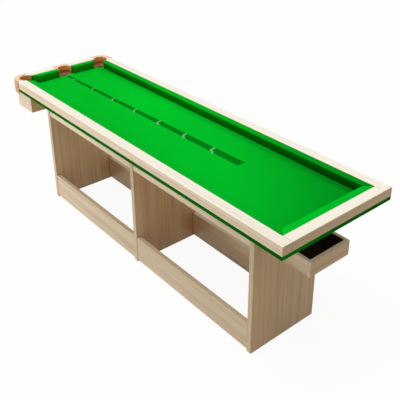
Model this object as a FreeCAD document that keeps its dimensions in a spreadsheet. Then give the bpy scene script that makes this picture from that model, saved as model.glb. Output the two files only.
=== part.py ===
import FreeCAD, Part
import Sketcher
import math
import os
import re

# Practice pool table with three pockets at its far end, a sloped ball return
# under the bed and an open ball tray at the player's end.
# Millimetres. X runs along the table to the player's end, Y across it, Z up.
# The origin is on the floor, under the centre of the middle leg panel.

Vector = FreeCAD.Vector
Placement = FreeCAD.Placement
Rotation = FreeCAD.Rotation
axis_x = Vector(1, 0, 0)
axis_y = Vector(0, 1, 0)
axis_z = Vector(0, 0, 1)

# Driving dimensions: name, size, meaning
sizes = [
    ("top_length", 2400, "table top along X"),
    ("top_width", 700, "table top across Y"),
    ("top_height", 840, "top of the rails above the floor"),
    ("near_overhang", 280, "top past the near leg panel"),
    ("far_overhang", 200, "top past the far leg panel"),
    ("rail_height", 46, "wood rail above the cloth"),
    ("rail_width", 54, "wood rail in plan"),
    ("rail_round", 4, "rounding of the rails' outer top edges"),
    ("bed_thickness", 19, "bed board"),
    ("cloth_thickness", 1, "bed cloth"),
    ("cushion_width", 43, "wood rail to cushion nose"),
    ("cushion_drop", 6, "rail top to cushion nose"),
    ("nose_height", 8, "flat nose of the cushion"),
    ("cushion_undercut", 10, "cushion nose to the cushion's foot"),
    ("soft_gap", 0.3, "clearance of soft parts"),
    ("fit_gap", 0.2, "clearance of fitted parts"),
    ("panel_thickness", 30, "leg panels"),
    ("base_depth", 440, "leg panels across Y"),
    ("panel_ease", 2, "eased corners of the leg panels"),
    ("board_thickness", 25, "top rails and stretchers"),
    ("board_width", 155, "top rails and stretchers"),
    ("board_setback", 2, "boards behind the panels' edges"),
    ("floor_gap", 11, "stretchers above the floor"),
    ("pocket_radius", 44, "pocket mouth"),
    ("corner_inset", 74, "corner pocket centre from both outer faces"),
    ("middle_inset", 70, "middle pocket centre from the far face"),
    ("middle_reach", 20, "bed edge in front of the middle pocket's centre"),
    ("collar_wall", 3, "leather lining of a pocket"),
    ("corner_lining", 14, "lining in front of a corner pocket's centre"),
    ("middle_lining", 10, "lining in front of the middle pocket's centre"),
    ("collar_skin", 3, "leather outside the rails"),
    ("collar_lip", 2, "leather above the rails"),
    ("collar_skirt", 13, "leather below the bed"),
    ("collar_edge", 1.4, "rounding of the leather's outer top edge"),
    ("collar_wing", 108, "corner collar along each outer face"),
    ("collar_corner", 70, "rounded corner of the table under a collar"),
    ("collar_ease", 2, "extra rounding of the bed under a collar"),
    ("shoulder_along", 50, "end of a collar's wing, along the face"),
    ("shoulder_in", 37, "end of a collar's wing, in from the face"),
    ("middle_wing", 52, "half width of the middle collar's seat"),
    ("corner_wood_cut", 63, "cushion end from the corner, at the wood"),
    ("corner_nose_cut", 50, "cushion end from the corner, at the nose"),
    ("middle_wood_cut", 52, "half mouth of the middle pocket, at the wood"),
    ("middle_nose_cut", 57, "half mouth of the middle pocket, at the nose"),
    ("facing_run", 5, "rubber facing along the cushion"),
    ("collector_length", 182, "collector box along X"),
    ("collector_height", 124, "collector box below the bed"),
    ("collector_inset", 27, "collector box in from the bed's long edges"),
    ("collector_board", 9, "collector box boards"),
    ("ramp_thickness", 6, "ramp boards in the collector"),
    ("ramp_rise", 28, "fall of a ramp towards the trough"),
    ("ramp_step", 2, "ramp above the trough floor"),
    ("trough_width", 100, "trough floor across Y"),
    ("trough_floor_thickness", 9, "trough floor board"),
    ("trough_wall", 10, "trough side boards"),
    ("trough_wall_height", 30, "trough sides above its floor"),
    ("trough_fall", 85, "fall of the trough between the end panels"),
    ("trough_lip", 12, "trough past the near panel"),
    ("trough_gap", 2, "opening beside the trough"),
    ("opening_height", 92, "trough opening in a panel"),
    ("tray_reach", 245, "tray from the near panel to its front"),
    ("tray_width", 256, "tray across Y"),
    ("tray_height", 78, "tray boards"),
    ("tray_drop", 137, "tray rim below the bed"),
    ("tray_wall", 16, "tray side boards"),
    ("tray_front_thickness", 18, "tray front board"),
    ("tray_floor_thickness", 9, "tray floor board"),
    ("tray_rabbet", 5, "tray floor let into the tray boards"),
    ("lining_thickness", 2, "black lining of the tray"),
    ("lining_margin", 3, "lining below the tray rim"),
    ("tenon_thickness", 10, "loose tenons of the base"),
    ("tenon_height", 90, "loose tenons"),
    ("tenon_length", 36, "loose tenons"),
    ("tenon_seat", 12, "loose tenon in the panel"),
    ("bolt_radius", 4, "rail bolt shank"),
    ("bolt_seat", 30, "rail bolt in the rail"),
    ("bolt_flats", 13, "rail bolt head across flats"),
    ("bolt_head", 5.3, "rail bolt head height"),
    ("washer_radius", 12, "rail washer"),
    ("washer_thickness", 2, "rail washer"),
    ("long_bolt_margin", 60, "first long rail bolt from the near end"),
    ("long_bolt_far_margin", 280, "last long rail bolt from the far end"),
    ("near_bolt_spread", 200, "near rail bolts from the middle"),
    ("far_bolt_spread", 145, "far rail bolts from the middle"),
    ("far_bolt_edge", 14, "far rail bolts from the rail's inner face"),
    ("bracket_leg", 35, "angle bracket leg"),
    ("bracket_width", 30, "angle bracket"),
    ("bracket_steel", 2, "angle bracket"),
    ("bracket_hole", 22, "bracket screw from the bracket's corner"),
    ("screw_radius", 2, "wood screws"),
    ("screw_head_radius", 4, "wood screw heads"),
    ("screw_head_height", 2.5, "wood screw heads"),
    ("bracket_screw_length", 14, "bracket screws"),
    ("overrun", 5, "how far a cut runs past what it cuts"),
]
long_bolt_count = 5
bracket_shares = (0.25, 0.75)
shank_sides = 8

# Places that follow from the driving dimensions
places = [
    ("base_length", "top_length - near_overhang - far_overhang"),
    ("panel_out", "base_length / 2"),
    ("panel_in", "panel_out - panel_thickness"),
    ("bay_length", "panel_in - panel_thickness / 2"),
    ("near_end", "panel_out + near_overhang"),
    ("far_end", "-panel_out - far_overhang"),
    ("side", "top_width / 2"),
    ("bed_top", "top_height - rail_height"),
    ("board_top", "bed_top - cloth_thickness"),
    ("bed_foot", "board_top - bed_thickness"),
    ("near_wood", "near_end - rail_width"),
    ("far_wood", "far_end + rail_width"),
    ("side_wood", "side - rail_width"),
    ("near_nose", "near_wood - cushion_width"),
    ("far_nose", "far_wood + cushion_width"),
    ("side_nose", "side_wood - cushion_width"),
    ("cushion_foot", "bed_top + soft_gap"),
    ("nose_top", "top_height - cushion_drop"),
    ("jaw_wood_x", "far_wood + corner_wood_cut"),
    ("jaw_nose_x", "far_nose + corner_nose_cut"),
    ("jaw_wood_y", "side_wood - corner_wood_cut"),
    ("jaw_nose_y", "side_nose - corner_nose_cut"),
    ("corner_x", "far_end + corner_inset"),
    ("corner_y", "side - corner_inset"),
    ("middle_x", "far_end + middle_inset"),
    ("lining_radius", "pocket_radius + collar_wall"),
    ("hole_radius", "lining_radius + fit_gap"),
    ("collar_top", "top_height + collar_lip"),
    ("skirt_foot", "bed_foot - collar_skirt"),
    ("board_outer", "base_depth / 2 - board_setback"),
    ("board_inner", "board_outer - board_thickness"),
    ("board_middle", "board_outer - board_thickness / 2"),
    ("top_rail_foot", "bed_foot - board_width"),
    ("collector_foot", "bed_foot - collector_height"),
    ("collector_floor_top", "collector_foot + collector_board"),
    ("collector_side", "side - collector_inset"),
    ("collector_room", "collector_side - collector_board"),
    ("collector_far", "-panel_out - collector_length"),
    ("collector_start", "collector_far + collector_board"),
    ("collector_end", "-panel_out - collector_board"),
    ("fall_share", "trough_fall / base_length"),
    ("trough_end", "panel_out + trough_lip"),
    ("trough_start_z", "collector_floor_top + fall_share * (collector_end - collector_start)"),
    ("trough_end_z", "collector_floor_top - fall_share * (trough_end - collector_end)"),
    ("long_bolt_pitch", "(top_length - long_bolt_margin - long_bolt_far_margin) / %d" % (long_bolt_count - 1)),
    ("ramp_low", "collector_floor_top + trough_floor_thickness + ramp_step + fall_share * collector_length"),
    ("tray_rim", "bed_foot - tray_drop"),
    ("tray_foot", "tray_rim - tray_height"),
    ("tray_end", "panel_out + tray_reach"),
    ("tray_room_end", "tray_end - tray_front_thickness"),
    ("tray_room", "tray_width / 2 - tray_wall"),
    ("tray_floor_top", "tray_foot + tray_floor_thickness"),
]

doc = FreeCAD.newDocument("practice_pool_table")
sheet = doc.addObject("Spreadsheet::Sheet", "Sizes")
for row, (name, value, meaning) in enumerate(sizes, 1):
    sheet.set("A%d" % row, name)
    sheet.set("B%d" % row, str(value))
    sheet.set("C%d" % row, meaning)
    sheet.setAlias("B%d" % row, name)
for row, (name, formula) in enumerate(places, len(sizes) + 1):
    sheet.set("A%d" % row, name)
    sheet.set("B%d" % row, "=" + formula)
    sheet.setAlias("B%d" % row, name)
doc.recompute()

names = sorted([entry[0] for entry in sizes + places], key=len, reverse=True)
name_pattern = re.compile(r"\b(" + "|".join(names) + r")\b")


def bound(expression):
    # the expression as the other objects of the document read it
    return name_pattern.sub(r"Sizes.\1", expression)


def number(expression):
    # the expression's present value
    return float(sheet.evalExpression(expression))


def point(x, y, z="0"):
    return Vector(number(x), number(y), number(z))


def signed(sign, expression):
    return expression if sign > 0 else "-(%s)" % expression


# Bodies and sketches
def new_body(label):
    body = doc.addObject("PartDesign::Body", label)
    body.Label = label
    return body


def new_sketch(body, plane, lift="0"):
    # lift: how far the sketch lies along the plane's normal
    sketch = body.newObject("Sketcher::SketchObject", body.Name + "_sketch")
    planes = {item.Role: item for item in body.Origin.OriginFeatures}
    sketch.AttachmentSupport = [(planes[plane], "")]
    sketch.MapMode = "FlatFace"
    sketch.setExpression(".AttachmentOffset.Base.z", bound(lift))
    return sketch


def pin(sketch, kind, geometry, end, expression):
    # ties one coordinate of a sketch point to an expression
    index = sketch.addConstraint(
        Sketcher.Constraint(kind, -1, 1, geometry, end, number(expression)))
    sketch.setExpression("Constraints[%d]" % index, bound(expression))


def pin_point(sketch, geometry, end, x, y):
    pin(sketch, "DistanceX", geometry, end, x)
    pin(sketch, "DistanceY", geometry, end, y)


def join(sketch, one, one_end, other, other_end):
    sketch.addConstraint(Sketcher.Constraint("Coincident", one, one_end, other, other_end))


def add_chain(sketch, corners):
    # straight lines through the corners; returns the first and the last line
    first = sketch.GeometryCount
    spots = [point(x, y) for x, y in corners]
    for start, end in zip(spots, spots[1:]):
        sketch.addGeometry(Part.LineSegment(start, end), False)
    last = sketch.GeometryCount - 1
    for line in range(first, last):
        join(sketch, line, 2, line + 1, 1)
    for line, (x, y) in enumerate(corners[:-1], first):
        pin_point(sketch, line, 1, x, y)
    return first, last


def add_polygon(sketch, corners):
    first, last = add_chain(sketch, corners + corners[:1])
    join(sketch, last, 2, first, 1)


def add_circle(sketch, x, y, radius):
    index = sketch.addGeometry(Part.Circle(point(x, y), axis_z, number(radius)), False)
    pin_point(sketch, index, 3, x, y)
    which = sketch.addConstraint(Sketcher.Constraint("Radius", index, number(radius)))
    sketch.setExpression("Constraints[%d]" % which, bound(radius))


def add_arc_outline(sketch, centre, corners, begin, finish):
    # lines through the corners, closed by an arc that runs from begin to finish
    # anticlockwise; these are the line ends it starts and ends at
    first, last = add_chain(sketch, corners)
    pin_point(sketch, last, 2, *corners[-1])
    middle = point(*centre)
    circle = Part.Circle(middle, axis_z, (point(*corners[0]) - middle).Length)
    ends = {"first": (corners[0], first, 1), "last": (corners[-1], last, 2)}
    angles = [circle.parameter(point(*ends[name][0])) for name in (begin, finish)]
    arc = sketch.addGeometry(Part.ArcOfCircle(circle, *angles), False)
    join(sketch, arc, 1, *ends[begin][1:])
    join(sketch, arc, 2, *ends[finish][1:])
    pin(sketch, "DistanceX", arc, 3, centre[0])


def add_mouth(sketch, x, y, radius, reach, angle):
    # a circle cut straight at a reach in front of its centre, seen along an angle
    half = "sqrt((%s) ^ 2 - (%s) ^ 2)" % (radius, reach)
    ends = []
    for turn in ("+", "-"):
        ends.append(("%s + %s * cos(%d) - %s 1 * %s * sin(%d)" % (x, reach, angle, turn, half, angle),
                     "%s + %s * sin(%d) %s %s * cos(%d)" % (y, reach, angle, turn, half, angle)))
    add_arc_outline(sketch, (x, y), ends, "first", "last")


def shank_corners(x, y, radius):
    corners = []
    for step in range(shank_sides):
        angle = (step + 0.5) * 360 / shank_sides
        corners.append(("%s + %s * %.9f" % (x, radius, math.cos(math.radians(angle))),
                        "%s + %s * %.9f" % (y, radius, math.sin(math.radians(angle)))))
    return corners


def rectangle(x0, y0, x1, y1):
    return [(x0, y0), (x1, y0), (x1, y1), (x0, y1)]


# Pads and cuts
def pad_sketch(body, sketch, length):
    feature = body.newObject("PartDesign::Pad", body.Name + "_pad")
    feature.Profile = sketch
    feature.setExpression("Length", bound(length))


def pad(body, plane, corners, length, lift="0"):
    sketch = new_sketch(body, plane, lift)
    add_polygon(sketch, corners)
    pad_sketch(body, sketch, length)


def cut_sketch(body, sketch, depth=None, with_normal=False):
    # cuts against the sketch's normal, or with it; right through without a depth
    feature = body.newObject("PartDesign::Pocket", body.Name + "_cut")
    feature.Profile = sketch
    feature.Reversed = with_normal
    if depth is None:
        feature.Type = "ThroughAll"
    else:
        feature.setExpression("Length", bound(depth))


def cut(body, plane, corners, depth=None, lift="0", with_normal=False):
    sketch = new_sketch(body, plane, lift)
    add_polygon(sketch, corners)
    cut_sketch(body, sketch, depth, with_normal)


def drill(body, plane, circles, depth=None, lift="0", with_normal=False):
    sketch = new_sketch(body, plane, lift)
    for x, y, radius in circles:
        add_circle(sketch, x, y, radius)
    cut_sketch(body, sketch, depth, with_normal)


def bore(body, plane, spots, radius, depth=None, lift="0", with_normal=False):
    # holes for shanks, with as few sides as the shanks have
    sketch = new_sketch(body, plane, lift)
    for x, y in spots:
        add_polygon(sketch, shank_corners(x, y, radius))
    cut_sketch(body, sketch, depth, with_normal)


def repeat(body, pitch, count):
    # repeats the last cut along X
    cut = body.Tip
    axes = {item.Role: item for item in body.Origin.OriginFeatures}
    pattern = body.newObject("PartDesign::LinearPattern", body.Name + "_row")
    pattern.Originals = [cut]
    pattern.Direction = (axes["X_Axis"], [""])
    pattern.Reversed = number(pitch) < 0
    pattern.setExpression("Length", "abs(%s) * %d" % (bound(pitch), count - 1))
    pattern.Occurrences = count
    body.Tip = pattern


def round_edges(body, radius, wanted):
    # rounds those edges of the body that the test picks
    doc.recompute()
    base = body.Tip
    edges = enumerate(base.Shape.Edges, 1)
    picked = ["Edge%d" % index for index, edge in edges if wanted(edge)]
    feature = body.newObject("PartDesign::Fillet", body.Name + "_round")
    feature.Base = (base, picked)
    feature.setExpression("Radius", bound(radius))


def is_along(edge, axis):
    ends = [vertex.Point for vertex in edge.Vertexes]
    if len(ends) < 2 or edge.Curve.TypeId != "Part::GeomLine":
        return False
    step = ends[1] - ends[0]
    return abs(step.dot(axis)) > step.Length * (1 - tiny_share)


def is_at(edge, coordinate, expression):
    # whether both ends of the edge lie at a value of x, y or z
    value = number(expression)
    reach = abs(value) + number("overrun")
    return all(abs(getattr(vertex.Point, coordinate) - value) < reach * tiny_share
               for vertex in edge.Vertexes)


tiny_share = 1e-6


def place(body, x="0", y="0", z="0"):
    body.setExpression(".Placement.Base.x", bound(x))
    body.setExpression(".Placement.Base.y", bound(y))
    body.setExpression(".Placement.Base.z", bound(z))


# Joints between the boards and the panels, as seen along X
def centred(y, z, width, height):
    return rectangle("%s - %s / 2" % (y, width), "%s - %s / 2" % (z, height),
                     "%s + %s / 2" % (y, width), "%s + %s / 2" % (z, height))


tenon_spots = [(signed(sign, "board_middle"), foot + " + board_width / 2")
               for sign in (-1, 1) for foot in ("floor_gap", "top_rail_foot")]


def trough_line(x):
    # underside of the trough floor at a place along X
    return "(collector_floor_top - fall_share * (%s - collector_end))" % x


def opening_in_panel(near_face):
    # the trough's way through a panel whose near face lies at near_face
    low = trough_line(near_face)
    half = "(trough_width / 2 + trough_gap)"
    return rectangle("-" + half, low, half, low + " + opening_height")


# Leg panels
def leg_panel(label, middle, joint_faces):
    # joint_faces: the faces that carry boards
    body = new_body(label)
    pad(body, "YZ_Plane", rectangle("-base_depth / 2", "0", "base_depth / 2", "bed_foot"),
        "panel_thickness", "-panel_thickness / 2")
    cut(body, "YZ_Plane", opening_in_panel("(%s + panel_thickness / 2)" % middle),
        lift="panel_thickness / 2")
    for face in joint_faces:
        for y, z in tenon_spots:
            cut(body, "YZ_Plane", centred(y, z, "tenon_thickness", "tenon_height"),
                "tenon_seat", signed(face, "panel_thickness / 2"), face < 0)
    round_edges(body, "panel_ease",
                lambda edge: is_along(edge, axis_z)
                and (is_at(edge, "y", "base_depth / 2") or is_at(edge, "y", "-base_depth / 2")))
    place(body, middle)
    return body


leg_panel("near_leg_panel", "panel_out - panel_thickness / 2", (-1,))
leg_panel("middle_leg_panel", "0", (-1, 1))
leg_panel("far_leg_panel", "-panel_out + panel_thickness / 2", (1,))


# Boards between the panels. X runs along a board, its outer face lies at zero
def bay_board(label, bay, sign, foot, bracketed):
    body = new_body(label)
    pad(body, "YZ_Plane", rectangle("0", "0", "board_thickness", "board_width"), "bay_length")
    mortise = centred("board_thickness / 2", "board_width / 2", "tenon_thickness", "tenon_height")
    for lift, with_normal in (("0", True), ("bay_length", False)):
        cut(body, "YZ_Plane", mortise, "tenon_length - tenon_seat", lift, with_normal)
    if bracketed:
        spots = [("bay_length * %g" % share, "board_width - bracket_hole")
                 for share in bracket_shares]
        bore(body, "XZ_Plane", spots, "screw_radius", "bracket_screw_length - bracket_steel",
             "-board_thickness", True)
    if sign < 0:
        place(body, "panel_thickness / 2" if bay > 0 else "-panel_in", "-board_outer", foot)
    else:
        # the back boards are turned half round, so their inner faces look forward
        body.Placement = Placement(Vector(), Rotation(axis_z, 180))
        place(body, "panel_in" if bay > 0 else "-panel_thickness / 2", "board_outer", foot)


for bay, bay_name in ((1, "near_bay"), (-1, "far_bay")):
    for sign, side_name in ((-1, "front"), (1, "back")):
        bay_board("%s_stretcher_%s" % (side_name, bay_name), bay, sign, "floor_gap", False)
        bay_board("%s_top_rail_%s" % (side_name, bay_name), bay, sign, "top_rail_foot", True)

# Rail bolts in plan. Those of a long rail start at the near end
first_bolt_x = "near_end - long_bolt_margin"
long_bolt_y = "side - rail_width / 2"
near_bolt_spots = [("near_end - rail_width / 2", signed(sign, "near_bolt_spread"))
                   for sign in (-1, 1)]
far_bolt_spots = [("far_wood - far_bolt_edge", signed(sign, "far_bolt_spread"))
                  for sign in (-1, 1)]
all_bolt_spots = near_bolt_spots + far_bolt_spots
for step in range(long_bolt_count):
    for sign in (-1, 1):
        all_bolt_spots.append(("%s - %d * long_bolt_pitch" % (first_bolt_x, step),
                               signed(sign, long_bolt_y)))

# Bracket screws into the bed, in plan
bracket_starts = {1: "panel_thickness / 2", -1: "-panel_in"}
bracket_spots = []
for start in bracket_starts.values():
    for share in bracket_shares:
        for sign in (-1, 1):
            bracket_spots.append(("%s + bay_length * %g" % (start, share),
                                  signed(sign, "board_inner"), sign))


# Bed board and the cloth stretched over it
def cut_bed_holes(body, top):
    sketch = new_sketch(body, "XY_Plane", top)
    for sign in (-1, 1):
        add_circle(sketch, "corner_x", signed(sign, "corner_y"), "hole_radius")
    add_mouth(sketch, "middle_x", "0", "hole_radius", "middle_reach", 0)
    cut_sketch(body, sketch)
    bore(body, "XY_Plane", near_bolt_spots + far_bolt_spots, "bolt_radius", lift=top)
    bore(body, "XY_Plane", [(first_bolt_x, signed(sign, long_bolt_y)) for sign in (-1, 1)],
         "bolt_radius", lift=top)
    repeat(body, "-long_bolt_pitch", long_bolt_count)


def is_far_corner(edge, inset):
    return (is_along(edge, axis_z) and is_at(edge, "x", "far_end + %s" % inset)
            and (is_at(edge, "y", "side - %s" % inset) or is_at(edge, "y", "%s - side" % inset)))


def bed_outline(inset):
    return rectangle("far_end + %s" % inset, "%s - side" % inset,
                     "near_end - %s" % inset, "side - %s" % inset)


bed = new_body("bed_board")
pad(bed, "XY_Plane", bed_outline("cloth_thickness"), "bed_thickness", "bed_foot")
round_edges(bed, "collar_corner + collar_ease - cloth_thickness",
            lambda edge: is_far_corner(edge, "cloth_thickness"))
cut_bed_holes(bed, "board_top")
bed_screws = [("-panel_in + bay_length * %g" % share, signed(sign, "board_inner - bracket_hole"))
              for share in bracket_shares for sign in (-1, 1)]
bore(bed, "XY_Plane", bed_screws, "screw_radius", "bracket_screw_length - bracket_steel",
     "bed_foot", True)
repeat(bed, "bay_length + panel_thickness", 2)

cloth = new_body("bed_cloth")
pad(cloth, "XY_Plane", bed_outline("0"), "bed_thickness + cloth_thickness", "bed_foot")
cut(cloth, "XY_Plane", bed_outline("cloth_thickness"), "bed_thickness", "bed_foot", True)
round_edges(cloth, "collar_corner + collar_ease - cloth_thickness",
            lambda edge: is_far_corner(edge, "cloth_thickness"))
round_edges(cloth, "collar_corner + collar_ease", lambda edge: is_far_corner(edge, "0"))
cut_bed_holes(cloth, "bed_top")


# Wood rails
def rail(label, outline, bolts, outer_axis, outer_side, outer_value, pocket_sign, is_long=False):
    body = new_body(label)
    pad(body, "XY_Plane", outline, "rail_height", "bed_top")
    if pocket_sign:
        hole = ("corner_x", signed(pocket_sign, "corner_y"), "hole_radius")
        drill(body, "XY_Plane", [hole], lift="top_height")
    bore(body, "XY_Plane", bolts, "bolt_radius", "bolt_seat", "bed_top", True)
    if is_long:
        repeat(body, "-long_bolt_pitch", long_bolt_count)
    round_edges(body, "rail_round",
                lambda edge: is_along(edge, outer_axis) and is_at(edge, "z", "top_height")
                and is_at(edge, outer_side, outer_value))


for sign, side_name in ((-1, "front"), (1, "back")):
    outline = [
        ("far_end + collar_wing", signed(sign, "side")),
        ("far_end + shoulder_along", signed(sign, "side - shoulder_in")),
        ("corner_x", signed(sign, "side_wood")),
        ("near_end", signed(sign, "side_wood")),
        ("near_end", signed(sign, "side")),
    ]
    rail(side_name + "_rail", outline, [(first_bolt_x, signed(sign, long_bolt_y))],
         axis_x, "y", signed(sign, "side"), sign, True)
    outline = [
        ("far_end", signed(sign, "side - collar_wing")),
        ("far_end + shoulder_in", signed(sign, "side - shoulder_along")),
        ("far_wood", signed(sign, "corner_y")),
        ("far_wood", signed(sign, "middle_wing")),
        ("far_end", signed(sign, "middle_wing")),
    ]
    far_bolts = [("far_wood - far_bolt_edge", signed(sign, "far_bolt_spread"))]
    rail("far_%s_rail" % side_name, outline, far_bolts, axis_y, "x", "far_end", sign)
rail("near_end_rail", rectangle("near_wood", "-side_wood", "near_end", "side_wood"),
     near_bolt_spots, axis_y, "x", "near_end", 0)


# Cushions: a wedge of rubber under cloth, its nose level with the rail
def cushion_profile(wood, inward):
    # wood: the rail's inner face, inward: sign of the way to the table's middle
    def at(distance):
        return "%s %s (%s)" % (wood, "+" if inward > 0 else "-", distance)
    return [
        (at("0"), "cushion_foot"),
        (at("0"), "top_height"),
        (at("cushion_width"), "nose_top"),
        (at("cushion_width"), "nose_top - nose_height"),
        (at("cushion_width - cushion_undercut"), "cushion_foot"),
    ]


def cut_from_above(body, corners):
    cut(body, "XY_Plane", corners, lift="top_height + overrun")


def long_cushion(label, sign):
    body = new_body(label)
    wood = signed(sign, "side_wood")
    past_wood = signed(sign, "side_wood + overrun")
    past_nose = signed(sign, "side_nose - overrun")
    pad(body, "YZ_Plane", cushion_profile(wood, -sign),
        "near_wood - jaw_wood_x - facing_run", "jaw_wood_x + facing_run")
    cut_from_above(body, [
        ("near_wood + overrun - soft_gap", past_wood),
        ("near_nose - overrun - soft_gap", past_nose),
        ("near_wood + overrun", past_nose),
    ])
    cut_from_above(body, [
        ("jaw_wood_x + facing_run", wood),
        ("jaw_nose_x + facing_run", signed(sign, "side_nose")),
        ("jaw_nose_x + facing_run", past_nose),
        ("jaw_wood_x", past_nose),
        ("jaw_wood_x", wood),
    ])


def far_cushion(label, sign):
    body = new_body(label)
    start = "jaw_wood_y - facing_run" if sign > 0 else "-middle_wood_cut - facing_run"
    past_nose = "far_nose + overrun"
    pad(body, "XZ_Plane", cushion_profile("far_wood", 1),
        "jaw_wood_y - middle_wood_cut - 2 * facing_run", "-(%s)" % start)
    cut_from_above(body, [
        ("far_wood", signed(sign, "jaw_wood_y - facing_run")),
        ("far_nose", signed(sign, "jaw_nose_y - facing_run")),
        (past_nose, signed(sign, "jaw_nose_y - facing_run")),
        (past_nose, signed(sign, "jaw_wood_y")),
        ("far_wood", signed(sign, "jaw_wood_y")),
    ])
    cut_from_above(body, [
        ("far_wood", signed(sign, "middle_wood_cut + facing_run")),
        ("far_nose", signed(sign, "middle_nose_cut + facing_run")),
        (past_nose, signed(sign, "middle_nose_cut + facing_run")),
        (past_nose, signed(sign, "middle_wood_cut")),
        ("far_wood", signed(sign, "middle_wood_cut")),
    ])


for sign, side_name in ((-1, "front"), (1, "back")):
    long_cushion(side_name + "_cushion", sign)
    far_cushion("far_%s_cushion" % side_name, sign)

near_cushion = new_body("near_end_cushion")
pad(near_cushion, "XZ_Plane", cushion_profile("near_wood", -1), "2 * side_wood", "-side_wood")
for sign in (-1, 1):
    past_wood = signed(sign, "side_wood + overrun")
    past_nose = signed(sign, "side_nose - overrun")
    cut_from_above(near_cushion, [
        ("near_wood + overrun + soft_gap", past_wood),
        ("near_nose - overrun + soft_gap", past_nose),
        ("near_nose - overrun", past_nose),
        ("near_nose - overrun", past_wood),
    ])


# Leather collars of the corner pockets
def corner_outline(sketch, sign, out, inner_spots):
    # the table's rounded corner at a distance outside its faces, then inner spots
    def spot(x, y):
        return ("far_end + " + x, signed(sign, "side - " + y))
    bends = [spot("collar_corner", out), spot(out, "collar_corner")]
    corners = bends[:1] + [spot(x, y) for x, y in inner_spots] + bends[1:]
    turn = ("last", "first") if sign < 0 else ("first", "last")
    add_arc_outline(sketch, spot("collar_corner", "collar_corner"), corners, *turn)


def is_leather_edge(edge):
    # the outer edge on top of the leather
    half_skin = number("collar_skin") / 2
    return is_at(edge, "z", "collar_top") and all(
        vertex.Point.x < number("far_end") - half_skin
        or abs(vertex.Point.y) > number("side") + half_skin for vertex in edge.Vertexes)


def corner_collar(label, sign):
    body = new_body(label)
    centre = ("corner_x", signed(sign, "corner_y"))
    outer = new_sketch(body, "XY_Plane", "skirt_foot")
    corner_outline(outer, sign, "(-collar_skin)", [
        ("collar_wing", "(-collar_skin)"),
        ("collar_wing", "0"),
        ("shoulder_along", "shoulder_in"),
        ("shoulder_in", "shoulder_along"),
        ("0", "collar_wing"),
        ("(-collar_skin)", "collar_wing"),
    ])
    pad_sketch(body, outer, "collar_top - skirt_foot")
    # room for the corner of the bed behind the skin
    inner = new_sketch(body, "XY_Plane", "skirt_foot")
    corner_outline(inner, sign, "0", [
        ("(collar_wing + overrun)", "0"),
        ("(collar_wing + overrun)", "(collar_wing + overrun)"),
        ("0", "(collar_wing + overrun)"),
    ])
    cut_sketch(body, inner, "bed_top - skirt_foot", True)
    lining = new_sketch(body, "XY_Plane", "bed_foot")
    add_mouth(lining, *centre, "lining_radius", "corner_lining", -45 * sign)
    pad_sketch(body, lining, "collar_top - bed_foot")
    drill(body, "XY_Plane", [centre + ("pocket_radius",)], lift="collar_top")
    round_edges(body, "collar_edge", is_leather_edge)


for sign, side_name in ((-1, "front"), (1, "back")):
    corner_collar(side_name + "_corner_collar", sign)

# Leather collar of the middle pocket
collar = new_body("middle_collar")
half_seat = "(middle_wing - fit_gap)"
pad(collar, "XY_Plane",
    rectangle("far_end - collar_skin", "-" + half_seat, "middle_x", half_seat),
    "collar_top - bed_top", "bed_top")
pad(collar, "XY_Plane", rectangle("far_end - collar_skin", "-" + half_seat, "far_end", half_seat),
    "bed_top - skirt_foot", "skirt_foot")
lining = new_sketch(collar, "XY_Plane", "bed_foot")
add_mouth(lining, "middle_x", "0", "lining_radius", "middle_lining", 0)
pad_sketch(collar, lining, "collar_top - bed_foot")
drill(collar, "XY_Plane", [("middle_x", "0", "pocket_radius")], lift="collar_top")
round_edges(collar, "collar_edge", is_leather_edge)

# Collector box under the three pockets
collector_section = rectangle("-collector_side", "collector_foot", "collector_side", "bed_foot")
outer_wall = new_body("collector_outer_wall")
pad(outer_wall, "YZ_Plane", collector_section, "collector_board", "collector_far")
inner_wall = new_body("collector_inner_wall")
pad(inner_wall, "YZ_Plane", collector_section, "collector_board", "collector_end")
cut(inner_wall, "YZ_Plane", opening_in_panel("(-panel_in)"), lift="-panel_out")
for sign, side_name in ((-1, "front"), (1, "back")):
    body = new_body("collector_%s_wall" % side_name)
    low, high = ("collector_room", "collector_side")
    if sign < 0:
        low, high = ("-collector_side", "-collector_room")
    pad(body, "XY_Plane", rectangle("collector_start", low, "collector_end", high),
        "collector_height", "collector_foot")
    # the ramp falls from the end wall to the trough
    body = new_body("collector_ramp_" + side_name)
    pad(body, "YZ_Plane", [
        (signed(sign, "trough_width / 2"), "ramp_low"),
        (signed(sign, "collector_room"), "ramp_low + ramp_rise"),
        (signed(sign, "collector_room"), "ramp_low + ramp_rise - ramp_thickness"),
        (signed(sign, "trough_width / 2"), "ramp_low - ramp_thickness"),
    ], "collector_end - collector_start", "collector_start")
body = new_body("collector_floor")
pad(body, "XY_Plane",
    rectangle("collector_start", "-collector_room", "collector_end", "collector_room"),
    "collector_board", "collector_foot")

# Sloped trough that carries the balls to the tray
trough = new_body("trough_floor")
pad(trough, "XZ_Plane", [
    ("collector_start", "trough_start_z"),
    ("trough_end", "trough_end_z"),
    ("trough_end", "trough_end_z + trough_floor_thickness"),
    ("collector_start", "trough_start_z + trough_floor_thickness"),
], "trough_width", "-trough_width / 2")
for sign, side_name in ((-1, "front"), (1, "back")):
    body = new_body("trough_side_" + side_name)
    low = "collector_floor_top + trough_floor_thickness"
    end_low = "trough_end_z + trough_floor_thickness"
    start = "trough_width / 2 - trough_wall" if sign < 0 else "-trough_width / 2"
    pad(body, "XZ_Plane", [
        ("collector_end", low),
        ("trough_end", end_low),
        ("trough_end", end_low + " + trough_wall_height"),
        ("collector_end", low + " + trough_wall_height"),
    ], "trough_wall", start)

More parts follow.
